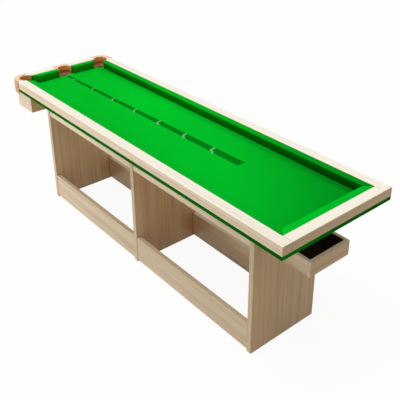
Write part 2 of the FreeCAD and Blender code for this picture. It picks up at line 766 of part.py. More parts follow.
# Ball tray on the near panel
front = new_body("tray_front")
pad(front, "YZ_Plane", rectangle("-tray_width / 2", "tray_foot", "tray_width / 2", "tray_rim"),
    "tray_front_thickness", "tray_room_end")
cut(front, "YZ_Plane",
    rectangle("-tray_room - tray_rabbet", "tray_foot - overrun",
              "tray_room + tray_rabbet", "tray_floor_top"),
    "tray_rabbet", "tray_room_end", True)
for sign, side_name in ((-1, "front"), (1, "back")):
    body = new_body("tray_side_" + side_name)
    pad(body, "YZ_Plane",
        [(signed(sign, y), z) for y, z in rectangle("tray_room", "tray_foot",
                                                    "tray_width / 2", "tray_rim")],
        "tray_room_end - panel_out", "panel_out")
    cut(body, "YZ_Plane",
        [(signed(sign, y), z) for y, z in rectangle("tray_room - overrun", "tray_foot - overrun",
                                                    "tray_room + tray_rabbet", "tray_floor_top")],
        lift="tray_room_end")
floor = new_body("tray_floor")
pad(floor, "XY_Plane",
    rectangle("panel_out", "-tray_room - tray_rabbet",
              "tray_room_end + tray_rabbet", "tray_room + tray_rabbet"),
    "tray_floor_thickness", "tray_foot")
lining = new_body("tray_lining")
pad(lining, "XY_Plane", rectangle("panel_out", "-tray_room", "tray_room_end", "tray_room"),
    "tray_rim - lining_margin - tray_floor_top", "tray_floor_top")
cut(lining, "XY_Plane",
    rectangle("panel_out - overrun", "lining_thickness - tray_room",
              "tray_room_end - lining_thickness", "tray_room - lining_thickness"),
    "tray_rim - lining_margin - tray_floor_top - lining_thickness", "tray_rim - lining_margin")


# Fasteners and facings: alike solids, each kind kept as one node
def group(label, shapes):
    node = doc.addObject("Part::Feature", label)
    node.Label = label
    node.Shape = Part.makeCompound(shapes)
    node.Placement = Placement()


def shank(radius, length, start, direction):
    # a pin with few sides, whose section is the same as its hole's
    across = axis_x if abs(direction.dot(axis_x)) < 1 - tiny_share else axis_y
    other = direction.cross(across)
    points = []
    for u, v in shank_corners("0", "0", radius):
        points.append(start + across * number(u) + other * number(v))
    return Part.Face(Part.makePolygon(points + points[:1])).extrude(direction * number(length))


tenons = []
for face, way in (("panel_in", -1), ("panel_thickness / 2", 1),
                  ("-panel_thickness / 2", -1), ("-panel_in", 1)):
    for y, z in tenon_spots:
        centre = point(face, y, z)
        start = centre - Vector(way * number("tenon_seat"), number("tenon_thickness / 2"),
                                number("tenon_height / 2"))
        length = number("tenon_length")
        if way < 0:
            start = start - axis_x * length
        tenons.append(Part.makeBox(length, number("tenon_thickness"), number("tenon_height"),
                                   start))
group("tenons", tenons)


def hexagon(flats, height, foot):
    corner = Vector(flats / math.sqrt(3), 0, 0)
    points = [foot + Rotation(axis_z, angle).multVec(corner) for angle in range(0, 361, 60)]
    return Part.Face(Part.makePolygon(points)).extrude(axis_z * height)


bolts = []
washers = []
for x, y in all_bolt_spots:
    seat = point(x, y, "bed_foot - washer_thickness")
    body = shank("bolt_radius", "washer_thickness + bed_top - bed_foot + bolt_seat",
                 seat, axis_z)
    head = hexagon(number("bolt_flats"), number("bolt_head"), seat - axis_z * number("bolt_head"))
    bolts.append(body.fuse(head).removeSplitter())
    ring = shank("washer_radius", "washer_thickness", seat, axis_z)
    washers.append(ring.cut(shank("bolt_radius", "washer_thickness", seat, axis_z)))
group("rail_bolts", bolts)
group("rail_washers", washers)

brackets = []
screws = []
for x, y, sign in bracket_spots:
    # corner between the board's inner face and the underside of the bed
    corner = point(x, y, "bed_foot")
    inward = -axis_y * sign
    width = axis_x * number("bracket_width")
    leg, steel = number("bracket_leg"), number("bracket_steel")
    steps = [(0, 0), (leg, 0), (leg, steel), (steel, steel), (steel, leg), (0, leg)]
    outline = [corner - width / 2 + inward * a - axis_z * b for a, b in steps + steps[:1]]
    bracket = Part.Face(Part.makePolygon(outline)).extrude(width)
    hole = number("bracket_hole")
    up_seat = corner + inward * hole - axis_z * steel
    side_seat = corner + inward * steel - axis_z * hole
    for seat, way in ((up_seat, axis_z), (side_seat, -inward)):
        bracket = bracket.cut(shank("screw_radius", "bracket_steel", seat, way))
        head = shank("screw_head_radius", "screw_head_height", seat, -way)
        screws.append(head.fuse(shank("screw_radius", "bracket_screw_length", seat, way)))
    brackets.append(bracket)
group("bed_brackets", brackets)
group("bracket_screws", screws)


# Rubber facings on the cushion ends beside the pockets
def prism(points, push):
    return Part.Face(Part.makePolygon(points + points[:1])).extrude(push)


def facing(wood, nose, inward, lies_along_x, at_wood, at_nose, away):
    # the slice of the cushion's section between the jaw line and the cushion
    wood_place, nose_place = number(wood), number(nose)
    begin, finish = number(at_wood), number(at_nose)
    run = number("facing_run") * away
    spread = abs(finish - begin) + abs(run)

    def spot(along, across, height):
        return Vector(along, across, height) if lies_along_x else Vector(across, along, height)

    section = [spot(min(begin, finish) - spread, number(across), number(height))
               for across, height in cushion_profile(wood, inward)]
    bar = prism(section, spot(abs(finish - begin) + 2 * spread, 0, 0))
    slope = (finish - begin) / (nose_place - wood_place)
    over = math.copysign(number("overrun"), nose_place - wood_place)
    corners = []
    for across, shift in ((wood_place - over, 0), (nose_place + over, 0),
                          (nose_place + over, run), (wood_place - over, run)):
        along = begin + slope * (across - wood_place) + shift
        corners.append(spot(along, across, number("bed_top")))
    return bar.common(prism(corners, axis_z * number("rail_height + overrun")))


facings = []
for sign in (-1, 1):
    facings.append(facing(signed(sign, "side_wood"), signed(sign, "side_nose"), -sign, True,
                          "jaw_wood_x", "jaw_nose_x", 1))
    facings.append(facing("far_wood", "far_nose", 1, False,
                          signed(sign, "jaw_wood_y"), signed(sign, "jaw_nose_y"), -sign))
    facings.append(facing("far_wood", "far_nose", 1, False,
                          signed(sign, "middle_wood_cut"), signed(sign, "middle_nose_cut"), sign))
group("jaw_facings", facings)

doc.recompute()

# Every object has to be sound, and every cut has to have cut something
for item in doc.Objects:
    if "Invalid" in item.State or "Error" in item.State:
        raise RuntimeError("failed: " + item.Label)
    if item.TypeId == "PartDesign::Pocket":
        if item.Shape.Volume >= item.BaseFeature.Shape.Volume:
            raise RuntimeError("cuts nothing: " + item.Label)

nodes = [item for item in doc.Objects if item.TypeId in ("PartDesign::Body", "Part::Feature")
         and item.getParentGeoFeatureGroup() is None]
os.makedirs("parts", exist_ok=True)
for item in nodes:
    if item.Shape.isNull() or not item.Shape.isValid():
        raise RuntimeError("bad shape: " + item.Label)
for item in nodes:
    item.Shape.exportStep("parts/%s.step" % item.Label)
print(len(nodes), "parts written")
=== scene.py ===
import math
import random

import bmesh
import bpy
from mathutils import Matrix, Vector


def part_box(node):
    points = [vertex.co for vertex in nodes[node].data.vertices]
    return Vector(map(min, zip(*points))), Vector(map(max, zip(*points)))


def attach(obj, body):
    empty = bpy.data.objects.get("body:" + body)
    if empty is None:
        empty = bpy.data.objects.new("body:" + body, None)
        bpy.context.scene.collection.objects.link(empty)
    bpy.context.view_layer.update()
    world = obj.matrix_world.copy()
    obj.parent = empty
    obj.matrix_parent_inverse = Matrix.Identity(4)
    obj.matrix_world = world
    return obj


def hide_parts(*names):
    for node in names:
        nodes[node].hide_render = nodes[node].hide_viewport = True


# Practice pool table: pale wood, green cloth, tan leather pockets at one end.
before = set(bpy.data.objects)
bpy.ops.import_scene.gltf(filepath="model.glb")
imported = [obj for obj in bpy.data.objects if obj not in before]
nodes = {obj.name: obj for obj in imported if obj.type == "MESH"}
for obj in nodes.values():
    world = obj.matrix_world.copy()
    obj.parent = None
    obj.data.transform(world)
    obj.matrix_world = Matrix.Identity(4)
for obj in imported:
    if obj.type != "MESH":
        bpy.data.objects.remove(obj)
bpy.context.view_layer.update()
random.seed(4)
print("frame loaded:", len(nodes), "nodes")


# ---- small helpers for meshes
def addObject(name, data):
    obj = bpy.data.objects.new(name, data)
    bpy.context.scene.collection.objects.link(obj)
    return obj


def setAll(thing, settings):
    for key, value in settings.items():
        setattr(thing, key, value)
    return thing


def meshFromBmesh(name, bm, smoothAngle=35):
    bmesh.ops.recalc_face_normals(bm, faces=bm.faces)
    mesh = bpy.data.meshes.new(name)
    bm.to_mesh(mesh)
    bm.free()
    mesh.shade_smooth()
    mesh.set_sharp_from_angle(angle=math.radians(smoothAngle))
    return mesh


def finishPiece(name, bm, smoothAngle, finishes, replaced=None):
    # a visual piece with its materials, and the node that it stands for
    piece = addObject(name, meshFromBmesh(name, bm, smoothAngle))
    for finish in finishes:
        piece.data.materials.append(materials[finish])
    if replaced:
        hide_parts(replaced)
    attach(piece, "root")
    return piece


def arcPoints(centre, radius, startAngle, endAngle, steps):
    # points on a circle in plan, angles in degrees
    angles = [math.radians(startAngle + (endAngle - startAngle) * i / steps) for i in range(steps + 1)]
    return [(centre[0] + radius * math.cos(a), centre[1] + radius * math.sin(a)) for a in angles]


def following(ring):
    # for each entry of a closed ring the one after it
    return ring[1:] + ring[:1]


def turned(points, anticlockwise=True):
    # the outline in the wanted direction
    area = sum(a[0] * b[1] - b[0] * a[1] for a, b in zip(points, following(points)))
    return points if (area > 0) == anticlockwise else points[::-1]


def moved(points, toX, toY, flip=1):
    return [(toX + x, toY + flip * y) for x, y in points]


def insetLoop(points, distance):
    # moves a closed outline towards its left side (inwards when it runs anticlockwise)
    shifted = []
    for before, here, after in zip(points[-1:] + points, points, following(points)):
        d1 = Vector((here[0] - before[0], here[1] - before[1])).normalized()
        d2 = Vector((after[0] - here[0], after[1] - here[1])).normalized()
        n1, n2 = Vector((-d1.y, d1.x)), Vector((-d2.y, d2.x))
        push = (n1 + n2) / max(0.35, 1 + n1.dot(n2)) * distance
        shifted.append((here[0] + push.x, here[1] + push.y))
    return shifted


def wrapRings(bm, rings, capped=False):
    # faces between closed rings of points, and over the first and last if capped
    for one, other in zip(rings, rings[1:]):
        for corners in zip(one, following(one), following(other), other):
            bm.faces.new(corners)
    if capped:
        bm.faces.new(rings[0][::-1])
        bm.faces.new(rings[-1])


def roundedSlab(bm, outlines, low, high, roundTop, roundLow=0.0, steps=4, closeLow=True, place=None):
    # a slab over closed outlines (the outer one anticlockwise, holes clockwise) with
    # rolled edges. place turns its x, y, z into a point somewhere else
    place = place or (lambda x, y, z: (x, y, z))
    turns = [math.pi / 2 * i / steps for i in range(steps + 1)]
    levels = [(roundTop * (1 - math.sin(a)), high - roundTop * (1 - math.cos(a))) for a in turns]
    if roundLow:
        levels += [(roundLow * (1 - math.cos(a)), low + roundLow * (1 - math.sin(a))) for a in turns]
    else:
        levels.append((0.0, low))
    topEdges, lowEdges = [], []
    for outline in outlines:
        rings = [[bm.verts.new(place(x, y, z)) for x, y in insetLoop(outline, inset)]
                 for inset, z in levels]
        wrapRings(bm, rings)
        for ring, edges in ((rings[0], topEdges), (rings[-1], lowEdges)):
            edges += [bm.edges.get(pair) for pair in zip(ring, following(ring))]
    for edges in (topEdges, lowEdges) if closeLow else (topEdges,):
        bmesh.ops.triangle_fill(bm, use_beauty=True, use_dissolve=False, edges=edges)


def turnedShape(bm, profile, place, sides=32):
    # a closed shape turned about its axis. Each profile entry is a radius, or a
    # function of the angle in degrees that gives one, and a height on the axis
    rings = []
    for radius, height in profile:
        ring = []
        for i in range(sides):
            degrees = 360 * i / sides
            r = radius(degrees) if callable(radius) else radius
            a = math.radians(degrees)
            ring.append(bm.verts.new(place(r * math.cos(a), r * math.sin(a), height)))
        rings.append(ring)
    wrapRings(bm, rings, capped=True)


# ---- small helpers for shader nodes
def feed(target, source):
    # target: an input socket, source: an output socket, a plain value or a colour
    if hasattr(source, "is_output"):
        target.id_data.links.new(source, target)
    else:
        target.default_value = (*source, 1) if target.type == "RGBA" else source


def feedAll(node, sources):
    for key, source in sources.items():
        feed(node.inputs[key], source)


def addNode(tree, kind, sources={}, **settings):
    node = setAll(tree.nodes.new("ShaderNode" + kind), settings)
    feedAll(node, sources)
    return node


def combine(kind, values, **settings):
    # a node fed with the values in turn, in the tree that one of them belongs to
    tree = next(value.id_data for value in values if hasattr(value, "is_output"))
    return addNode(tree, kind, dict(enumerate(values)), **settings)


def mathNode(operation, *values, clamp=False):
    return combine("Math", values, operation=operation, use_clamp=clamp).outputs[0]


def plus(first, *others):
    for other in others:
        first = mathNode("ADD", first, other)
    return first


def times(first, *others):
    for other in others:
        first = mathNode("MULTIPLY", first, other)
    return first


def minus(first, second):
    return mathNode("SUBTRACT", first, second)


def sizeOf(value):
    return mathNode("ABSOLUTE", value)


def vectorNode(operation, *values):
    node = combine("VectorMath", values, operation=operation)
    return node.outputs["Value" if operation in ("DOT_PRODUCT", "LENGTH", "DISTANCE") else "Vector"]


def scaled(vector, factor):
    tree = factor.id_data
    return addNode(tree, "VectorMath", {0: vector, "Scale": factor}, operation="SCALE").outputs[0]


def mixColor(factor, first, second, blend="MIX"):
    tree = next(value.id_data for value in (factor, first) if hasattr(value, "is_output"))
    return addNode(tree, "Mix", {0: factor, 6: first, 7: second}, data_type="RGBA",
                   blend_type=blend).outputs[2]


def rampValue(value, low, high, toLow=0.0, toHigh=1.0, smooth=True):
    kind = "SMOOTHSTEP" if smooth else "LINEAR"
    return combine("MapRange", (value, low, high, toLow, toHigh), interpolation_type=kind).outputs[0]


def stripe(value, band):
    # 1 within the band's half width of its middle, and 0 outside
    off = sizeOf(minus(value, band["middle"]))
    return rampValue(off, band["half"] - band["blur"], band["half"] + band["blur"], 1.0, 0.0)


def splitAxes(vector):
    return tuple(combine("SeparateXYZ", [vector]).outputs)


def faceNormal(tree):
    return addNode(tree, "NewGeometry").outputs["Normal"]


def scaledNoise(vector, scale, detail=3.0, roughness=0.55, distortion=0.0):
    # noise in coordinates that are stretched differently along each axis
    return addNode(vector.id_data, "TexNoise", {
        "Vector": vectorNode("MULTIPLY", vector, scale), "Scale": 1.0, "Detail": detail,
        "Roughness": roughness, "Distortion": distortion}).outputs["Fac"]


def newGroup(name, outputs, colors=(), values=()):
    # a group takes a place, colours and plain values
    group = bpy.data.node_groups.new(name, "ShaderNodeTree")
    sockets = [("Vector", "Vector", "INPUT")]
    sockets += [(label, "Color", "INPUT") for label in colors]
    sockets += [(label, "Float", "INPUT") for label in values]
    sockets += [(label, "Color" if label == "Color" else "Float", "OUTPUT") for label in outputs]
    for label, kind, side in sockets:
        group.interface.new_socket(name=label, in_out=side, socket_type="NodeSocket" + kind)
    return group, group.nodes.new("NodeGroupInput").outputs, group.nodes.new("NodeGroupOutput")


# what a group for a whole surface gives
surface = ("Color", "Roughness", "Height")
# how far a face has to turn to count as one across the table, or one that looks up
turnedFaces = {"across": (0.6, 0.9), "up": (0.5, 0.95)}

# Grain of sawn and sanded wood. The first coordinate runs along the grain. The noises
# are given by their stretch, the ranges say where each turns from pale to dark, and the
# shares how much of the dark colour it brings
grain = {"drift": (0.9, 5.0, 5.0), "bend": (0.0, 0.012, 0.012), "wide": (0.5, 26.0, 26.0),
         "fine": (1.3, 95.0, 95.0), "pores": (14.0, 620.0, 620.0), "growth": (0.45, 30.0, 30.0),
         "wideRange": (0.33, 0.67), "fineRange": (0.36, 0.66), "poreRange": (0.60, 0.72),
         "lineRange": (0.004, 0.035, 1.0, 0.0), "linesWhere": (0.42, 0.6, 0.35, 1.0),
         "wideShare": 0.38, "fineShare": 0.42, "poreShare": 0.22, "lineShare": 0.54,
         "lineTint": (0.66, 0.56, 0.44), "acrossTint": (0.86, 0.73, 0.54), "bleached": 0.81,
         "pale": (0.98, 0.975, 0.88), "paleLineShare": 0.20, "paleLine": (0.60, 0.47, 0.31),
         "fineRough": 0.12, "poreRough": 0.1, "fineHeight": 0.6, "dust": (0.16, 0.10, 0.06),
         "dustReach": 0.005, "dustRange": (0.50, 0.92, 0.9, 0.0)}


def buildWoodGrain():
    tree, given, out = newGroup("woodGrain", surface, ("Light", "Dark", "Pale", "Near Tint"),
                                ("Gloss", "Bleach"))
    drift = scaledNoise(given["Vector"], grain["drift"], detail=2.0)
    bent = vectorNode("MULTIPLY_ADD", drift, grain["bend"], given["Vector"])
    wide = scaledNoise(bent, grain["wide"], roughness=0.6)
    fine = scaledNoise(bent, grain["fine"], detail=5.0, roughness=0.7)
    fineMask = rampValue(fine, *grain["fineRange"])
    poreMask = rampValue(scaledNoise(bent, grain["pores"], detail=2.0), *grain["poreRange"])
    # growth lines run where a slow noise crosses its middle value
    growth = scaledNoise(bent, grain["growth"], detail=2.0, roughness=0.5)
    lines = times(rampValue(sizeOf(minus(growth, 0.5)), *grain["lineRange"]),
                  rampValue(wide, *grain["linesWhere"]))
    shade = plus(times(rampValue(wide, *grain["wideRange"]), grain["wideShare"]),
                 times(fineMask, grain["fineShare"]),
                 times(poreMask, grain["poreShare"]))
    wood = mixColor(shade, given["Light"], given["Dark"])
    wood = mixColor(times(lines, grain["lineShare"]), wood, grain["lineTint"], "MULTIPLY")
    # painted shade: faces across the table, which look to either end, are tinted darker and warmer than
    # the edges along it, as wood in shade looks; the near faces take a tint of their own
    x, y, z = splitAxes(faceNormal(tree))
    for side, tint in ((1.0, given["Near Tint"]), (-1.0, grain["acrossTint"])):
        across = rampValue(times(x, side), *turnedFaces["across"])
        wood = mixColor(across, wood, tint, "MULTIPLY")
    # painted highlight: faces that look up are painted paler, as if lit more strongly, and keep a
    # little of the growth lines
    pale = mixColor(grain["bleached"], wood, given["Pale"])
    pale = mixColor(times(lines, grain["paleLineShare"]), pale, grain["paleLine"])
    wood = mixColor(times(rampValue(z, *turnedFaces["up"]), given["Bleach"]), wood, pale)
    # joints and corners keep a little dust and painted shade, darker where nearby surfaces close in
    nearby = addNode(tree, "AmbientOcclusion", {"Distance": grain["dustReach"]}, samples=6)
    dust = rampValue(nearby.outputs["AO"], *grain["dustRange"])
    feedAll(out, {
        "Color": mixColor(dust, wood, grain["dust"]),
        "Roughness": plus(given["Gloss"], times(fineMask, grain["fineRough"]),
                          times(poreMask, grain["poreRough"])),
        "Height": minus(times(fine, grain["fineHeight"]), poreMask)})
    return tree


# Thin dark line where the near end rail meets the front rail; at the back the joint is tight
jointLine = {"middle": 0.2960, "from": 1.187, "half": 0.0009, "blur": 0.0005,
             "color": (0.26, 0.17, 0.10)}


def buildJointLine():
    tree, given, out = newGroup("jointLine", ["Mask"])
    x, y, z = splitAxes(given["Vector"])
    feed(out.inputs["Mask"], times(stripe(sizeOf(y), jointLine),
                                   mathNode("GREATER_THAN", x, jointLine["from"]),
                                   mathNode("LESS_THAN", y, 0.0)))
    return tree


# Napped wool cloth: fine fibres, faint streaks along the table, paler cloudy patches; painted shade on
# faces turned from the light, and painted light and shade across the bed
clothNap = {"fibre": (900.0, 1400.0, 1400.0), "streak": (6.0, 60.0, 60.0), "cloud": (2.2, 3.0, 3.0),
            "fibreShare": 0.22, "streakShare": 0.10, "cloudShare": 0.14, "least": 0.77,
            "lean": (-0.35, 0.45, 0.82), "leanRange": (0.47, 0.66)}
# Painted light and shade over the bed: darker towards the near back corner and next to the back
# cushion, lighter in a pool round one spot
paintedLightPool = {"slant": 0.93, "from": 0.45, "to": 1.45, "corner": 0.46, "edge": 0.18,
            "edgeRange": (0.205, 0.255), "nose": 0.2535, "spot": (-0.33, 0.17, 0.0),
            "spotReach": (0.75, 0.30, 0.0), "paler": 0.16, "base": 0.05}


def buildClothNap():
    tree, given, out = newGroup("clothNap", ("Color", "Height"), ("Top", "Side", "End"), ["Brushing"])
    vector = given["Vector"]
    fibre = scaledNoise(vector, clothNap["fibre"], roughness=0.7)
    streak = scaledNoise(vector, clothNap["streak"])
    cloud = scaledNoise(vector, clothNap["cloud"], detail=2.0)
    lift = plus(times(fibre, clothNap["fibreShare"]),
                times(streak, clothNap["streakShare"]),
                times(cloud, clothNap["cloudShare"]), clothNap["least"])
    # painted shade: faces turned away from one light direction take the darker side and end colours,
    # faces towards it the top colour
    normal = faceNormal(tree)
    facing = rampValue(vectorNode("DOT_PRODUCT", normal, clothNap["lean"]), *clothNap["leanRange"])
    across = rampValue(sizeOf(splitAxes(normal)[0]), *turnedFaces["across"])
    base = mixColor(facing, mixColor(across, given["Side"], given["End"]), given["Top"])
    # painted light and shade: the cloth is darker towards the near back corner and next to the back
    # cushion, and a painted pool of light lies round one spot
    x, y, z = splitAxes(vector)
    slope = plus(x, times(y, paintedLightPool["slant"]))
    deeper = rampValue(slope, paintedLightPool["from"], paintedLightPool["to"], 0.0, paintedLightPool["corner"])
    edge = times(rampValue(y, *paintedLightPool["edgeRange"], 0.0, paintedLightPool["edge"]),
                 mathNode("LESS_THAN", y, paintedLightPool["nose"]))
    fromPool = vectorNode("SUBTRACT", vector, paintedLightPool["spot"])
    away = vectorNode("LENGTH", vectorNode("DIVIDE", fromPool, paintedLightPool["spotReach"]))
    paler = rampValue(away, 0.0, 1.0, paintedLightPool["base"] + paintedLightPool["paler"], paintedLightPool["base"])
    change = minus(paler, plus(deeper, edge))
    change = plus(times(change, given["Brushing"]), 1.0)
    feedAll(out, {"Color": scaled(base, times(lift, change)), "Height": fibre})
    return tree


# Soft leather: pebbled cells, creases and darker hollows
hide = {"cells": 620.0, "patch": (38.0, 38.0, 38.0), "crease": (160.0, 160.0, 60.0),
        "pebbleRange": (0.0, 0.22), "patchRange": (0.35, 0.7), "patchShare": 0.55,
        "hollowShare": 0.3, "creaseDepth": 0.8, "rubbed": (0.25, 0.8, 0.85, 0.6),
        "gloss": (0.3, 0.7, 0.42, 0.58)}


def buildLeatherGrain():
    tree, given, out = newGroup("leatherGrain", surface, ("Tan", "Deep", "Rubbed"))
    vector = given["Vector"]
    cells = addNode(tree, "TexVoronoi", {"Vector": vector, "Scale": hide["cells"]},
                    feature="DISTANCE_TO_EDGE")
    pebble = rampValue(cells.outputs["Distance"], *hide["pebbleRange"])
    patch = scaledNoise(vector, hide["patch"], detail=4.0, roughness=0.6)
    crease = scaledNoise(vector, hide["crease"], distortion=0.6)
    shade = plus(times(rampValue(patch, *hide["patchRange"]), hide["patchShare"]),
                 times(minus(1.0, pebble), hide["hollowShare"]))
    skin = mixColor(shade, given["Tan"], given["Deep"])
    # painted highlight: faces that look up are painted pale in patches
    upward = splitAxes(faceNormal(tree))[2]
    rubbed = times(rampValue(upward, *turnedFaces["up"]), rampValue(patch, *hide["rubbed"]))
    feedAll(out, {"Color": mixColor(rubbed, skin, given["Rubbed"]),
                  "Roughness": rampValue(patch, *hide["gloss"]),
                  "Height": plus(pebble, times(crease, hide["creaseDepth"]))})
    return tree


# Brushed or plated metal with faint stains
metalSkin = {"stain": (90.0, 90.0, 90.0), "brush": (300.0, 2500.0, 300.0),
             "kept": (0.3, 0.75, 1.0, 0.72), "dull": 0.2}


def buildMetalSkin():
    tree, given, out = newGroup("metalSkin", surface, ["Metal"], ["Gloss"])
    stain = scaledNoise(given["Vector"], metalSkin["stain"], detail=4.0)
    kept = rampValue(stain, *metalSkin["kept"])
    feedAll(out, {"Color": scaled(given["Metal"], kept),
                  "Roughness": plus(given["Gloss"], times(stain, metalSkin["dull"])),
                  "Height": scaledNoise(given["Vector"], metalSkin["brush"], detail=2.0)})
    return tree


# Practice line along the middle of the bed: a dark band with pale chevrons
practiceLine = {"start": -1.046, "end": 0.590, "halfFar": 0.0095, "halfNear": 0.0250, "edge": 0.0014,
                "skew": 0.0260, "firstTip": -0.972, "lead": 0.06, "pitch": 0.2250, "count": 7,
                "tipOff": -0.42, "longArm": (-0.22, 1.18, 0.0), "shortArm": (1.22, -0.66, 0.0),
                "stroke": 0.28, "strokeEdge": 0.07}


def buildPracticeLine():
    line = practiceLine
    tree, given, out = newGroup("practiceLine", ("Band", "Chevron"))
    x, y, z = splitAxes(given["Vector"])
    soft = line["edge"]

    def below(value, limit, blur=soft):
        return rampValue(value, limit - blur, limit + blur, 1.0, 0.0)

    # the line leaves the middle pocket, widens and drifts a little to one side
    half = rampValue(x, line["start"], line["end"], line["halfFar"], line["halfNear"], smooth=False)
    offLine = minus(y, times(minus(x, line["start"]), line["skew"]))
    begun = rampValue(x, line["start"] - soft, line["start"] + soft)
    beside = minus(sizeOf(offLine), half)
    # chevrons point at the middle pocket. They are drawn in units of the line's half width
    fromTip = minus(x, line["firstTip"])
    step = mathNode("FLOOR", mathNode("DIVIDE", plus(fromTip, line["lead"]), line["pitch"]))
    within = minus(fromTip, times(step, line["pitch"]))
    spot = addNode(tree, "CombineXYZ", {
        "X": mathNode("DIVIDE", within, half),
        "Y": minus(mathNode("DIVIDE", offLine, half), line["tipOff"])}).outputs[0]

    def fromArm(arm):
        # distance from the spot to one arm
        along = vectorNode("DOT_PRODUCT", spot, arm)
        share = mathNode("DIVIDE", along, Vector(arm).length_squared, clamp=True)
        return vectorNode("DISTANCE", spot, scaled(arm, share))

    nearest = mathNode("MINIMUM", fromArm(line["longArm"]), fromArm(line["shortArm"]))
    feedAll(out, {
        "Band": times(below(beside, 0.0), begun, below(x, line["end"])),
        "Chevron": times(below(nearest, line["stroke"], line["strokeEdge"]),
                         mathNode("GREATER_THAN", step, -0.5),
                         mathNode("LESS_THAN", step, line["count"] - 0.5))})
    return tree


groups = {"wood": buildWoodGrain(), "joint": buildJointLine(), "cloth": buildClothNap(),
          "leather": buildLeatherGrain(), "metal": buildMetalSkin(), "line": buildPracticeLine()}
print("shader groups built:", len(groups))


# ---- materials
def placeGroup(kind, vector, **values):
    return addNode(vector.id_data, "Group", {"Vector": vector, **values}, node_tree=groups[kind])


def startMaterial(name):
    material = bpy.data.materials.new(name)
    material.use_nodes = True
    tree = material.node_tree
    return material, tree, tree.nodes["Principled BSDF"]


def pieceCoordinates(tree, turn=(0.0, 0.0, 0.0), vary=True):
    # the piece's own coordinates, turned so that the grain runs along the first
    # axis, and shifted by a different amount on each piece
    ownPlace = addNode(tree, "TexCoord").outputs["Object"]
    mapping = addNode(tree, "Mapping", {"Vector": ownPlace, "Rotation": turn}, vector_type="POINT")
    if vary:
        chance = addNode(tree, "ObjectInfo").outputs["Random"]
        feed(mapping.inputs["Location"], scaled((3.1, 2.3, 1.7), chance))
    return mapping.outputs[0]


def finishShader(shader, skin, color, strength, depth, values):
    # colour, roughness and bump come from the group, the other values are plain
    bump = addNode(shader.id_data, "Bump", {
        "Strength": strength, "Distance": depth, "Height": skin.outputs["Height"]})
    if "Roughness" in skin.outputs:
        feed(shader.inputs["Roughness"], skin.outputs["Roughness"])
    feedAll(shader, {"Base Color": color, "Normal": bump.outputs[0], **values})


# Painted light and shade: near is a darker copy of the base wood for the near bay's front boards, back
# a warmer one for the back boards, and top and nearTop lighter ones for the top rails under the bed
woodColors = {"rail": ((0.855, 0.72, 0.54), (0.655, 0.53, 0.37)),
              "base": ((0.74, 0.605, 0.41), (0.535, 0.415, 0.26)),
              "panel": ((0.67, 0.547, 0.35), (0.484, 0.375, 0.22)),
              "top": ((0.97, 0.82, 0.58), (0.73, 0.58, 0.38)),
              "nearTop": ((0.91, 0.76, 0.53), (0.67, 0.53, 0.345)),
              "near": ((0.70, 0.57, 0.38), (0.505, 0.39, 0.24)),
              "back": ((0.83, 0.62, 0.37), (0.62, 0.43, 0.24)),
              "raw": ((0.81, 0.69, 0.52), (0.68, 0.55, 0.395)),
              "bed": ((0.50, 0.38, 0.25), (0.40, 0.29, 0.18))}
# painted light and shade: what the veneer's colour is multiplied by on the faces towards the player,
# darker on the rails and the near panel, lighter on the middle and far panels
nearFaceShading = {"rail": (0.73, 0.63, 0.44), "nearPanel": (0.95, 0.80, 0.575),
               "middlePanel": (1.30, 1.11, 0.96), "farPanel": (1.24, 1.14, 0.98)}
grainTurns = {"x": (0.0, 0.0, 0.0), "y": (0.0, 0.0, -math.pi / 2), "z": (0.0, math.pi / 2, 0.0)}


def woodMaterial(name, along, kind, gloss=0.38, coat=0.12, bleach=0.0, tint=grain["acrossTint"],
                 pale=grain["pale"], jointed=False):
    material, tree, shader = startMaterial(name)
    light, dark = woodColors[kind]
    skin = placeGroup("wood", pieceCoordinates(tree, grainTurns[along]), Light=light, Dark=dark,
                      Gloss=gloss, Bleach=bleach, Pale=pale, **{"Near Tint": tint})
    color = skin.outputs["Color"]
    if jointed:
        joint = placeGroup("joint", pieceCoordinates(tree, vary=False))
        color = mixColor(joint.outputs["Mask"], color, jointLine["color"])
    finishShader(shader, skin, color, 0.35, 0.00025, {"Coat Weight": coat, "Coat Roughness": 0.25})
    return material


# Painted light and shade: face, farFace, edge, edgeAcross and liningFace are copies of the top colours
# for faces that turn from the light, farFace and edgeAcross lighter than face and edge
clothColors = {"bed": (0.0, 0.50, 0.021), "edge": (0.0, 0.128, 0.002), "edgeAcross": (0.0, 0.30, 0.006),
               "cushion": (0.0, 0.475, 0.021), "nearCushion": (0.0, 0.60, 0.026),
               "backCushion": (0.0, 0.41, 0.013), "face": (0.0, 0.165, 0.001),
               "farFace": (0.0, 0.33, 0.003), "band": (0.0, 0.20, 0.006), "chevron": (0.12, 0.50, 0.16),
               "lining": (0.030, 0.022, 0.015), "liningFace": (0.034, 0.024, 0.016),
               "thread": (0.86, 0.66, 0.42)}
clothShader = {"Roughness": 0.95, "Specular IOR Level": 0.01, "Sheen Weight": 0.01,
               "Sheen Roughness": 0.6, "Sheen Tint": (0.25, 1.0, 0.35)}


def clothMaterial(name, face, side, end=None, paintedLight=0.0, withLine=False):
    material, tree, shader = startMaterial(name)
    place = pieceCoordinates(tree, vary=False)
    color = clothColors[face]
    if withLine:
        line = placeGroup("line", place)
        for output, key in (("Band", "band"), ("Chevron", "chevron")):
            color = mixColor(line.outputs[output], color, clothColors[key])
    nap = placeGroup("cloth", place, Top=color, Side=clothColors[side],
                     End=clothColors[end or side], Brushing=paintedLight)
    finishShader(shader, nap, nap.outputs["Color"], 0.5, 0.0004, clothShader)
    return material


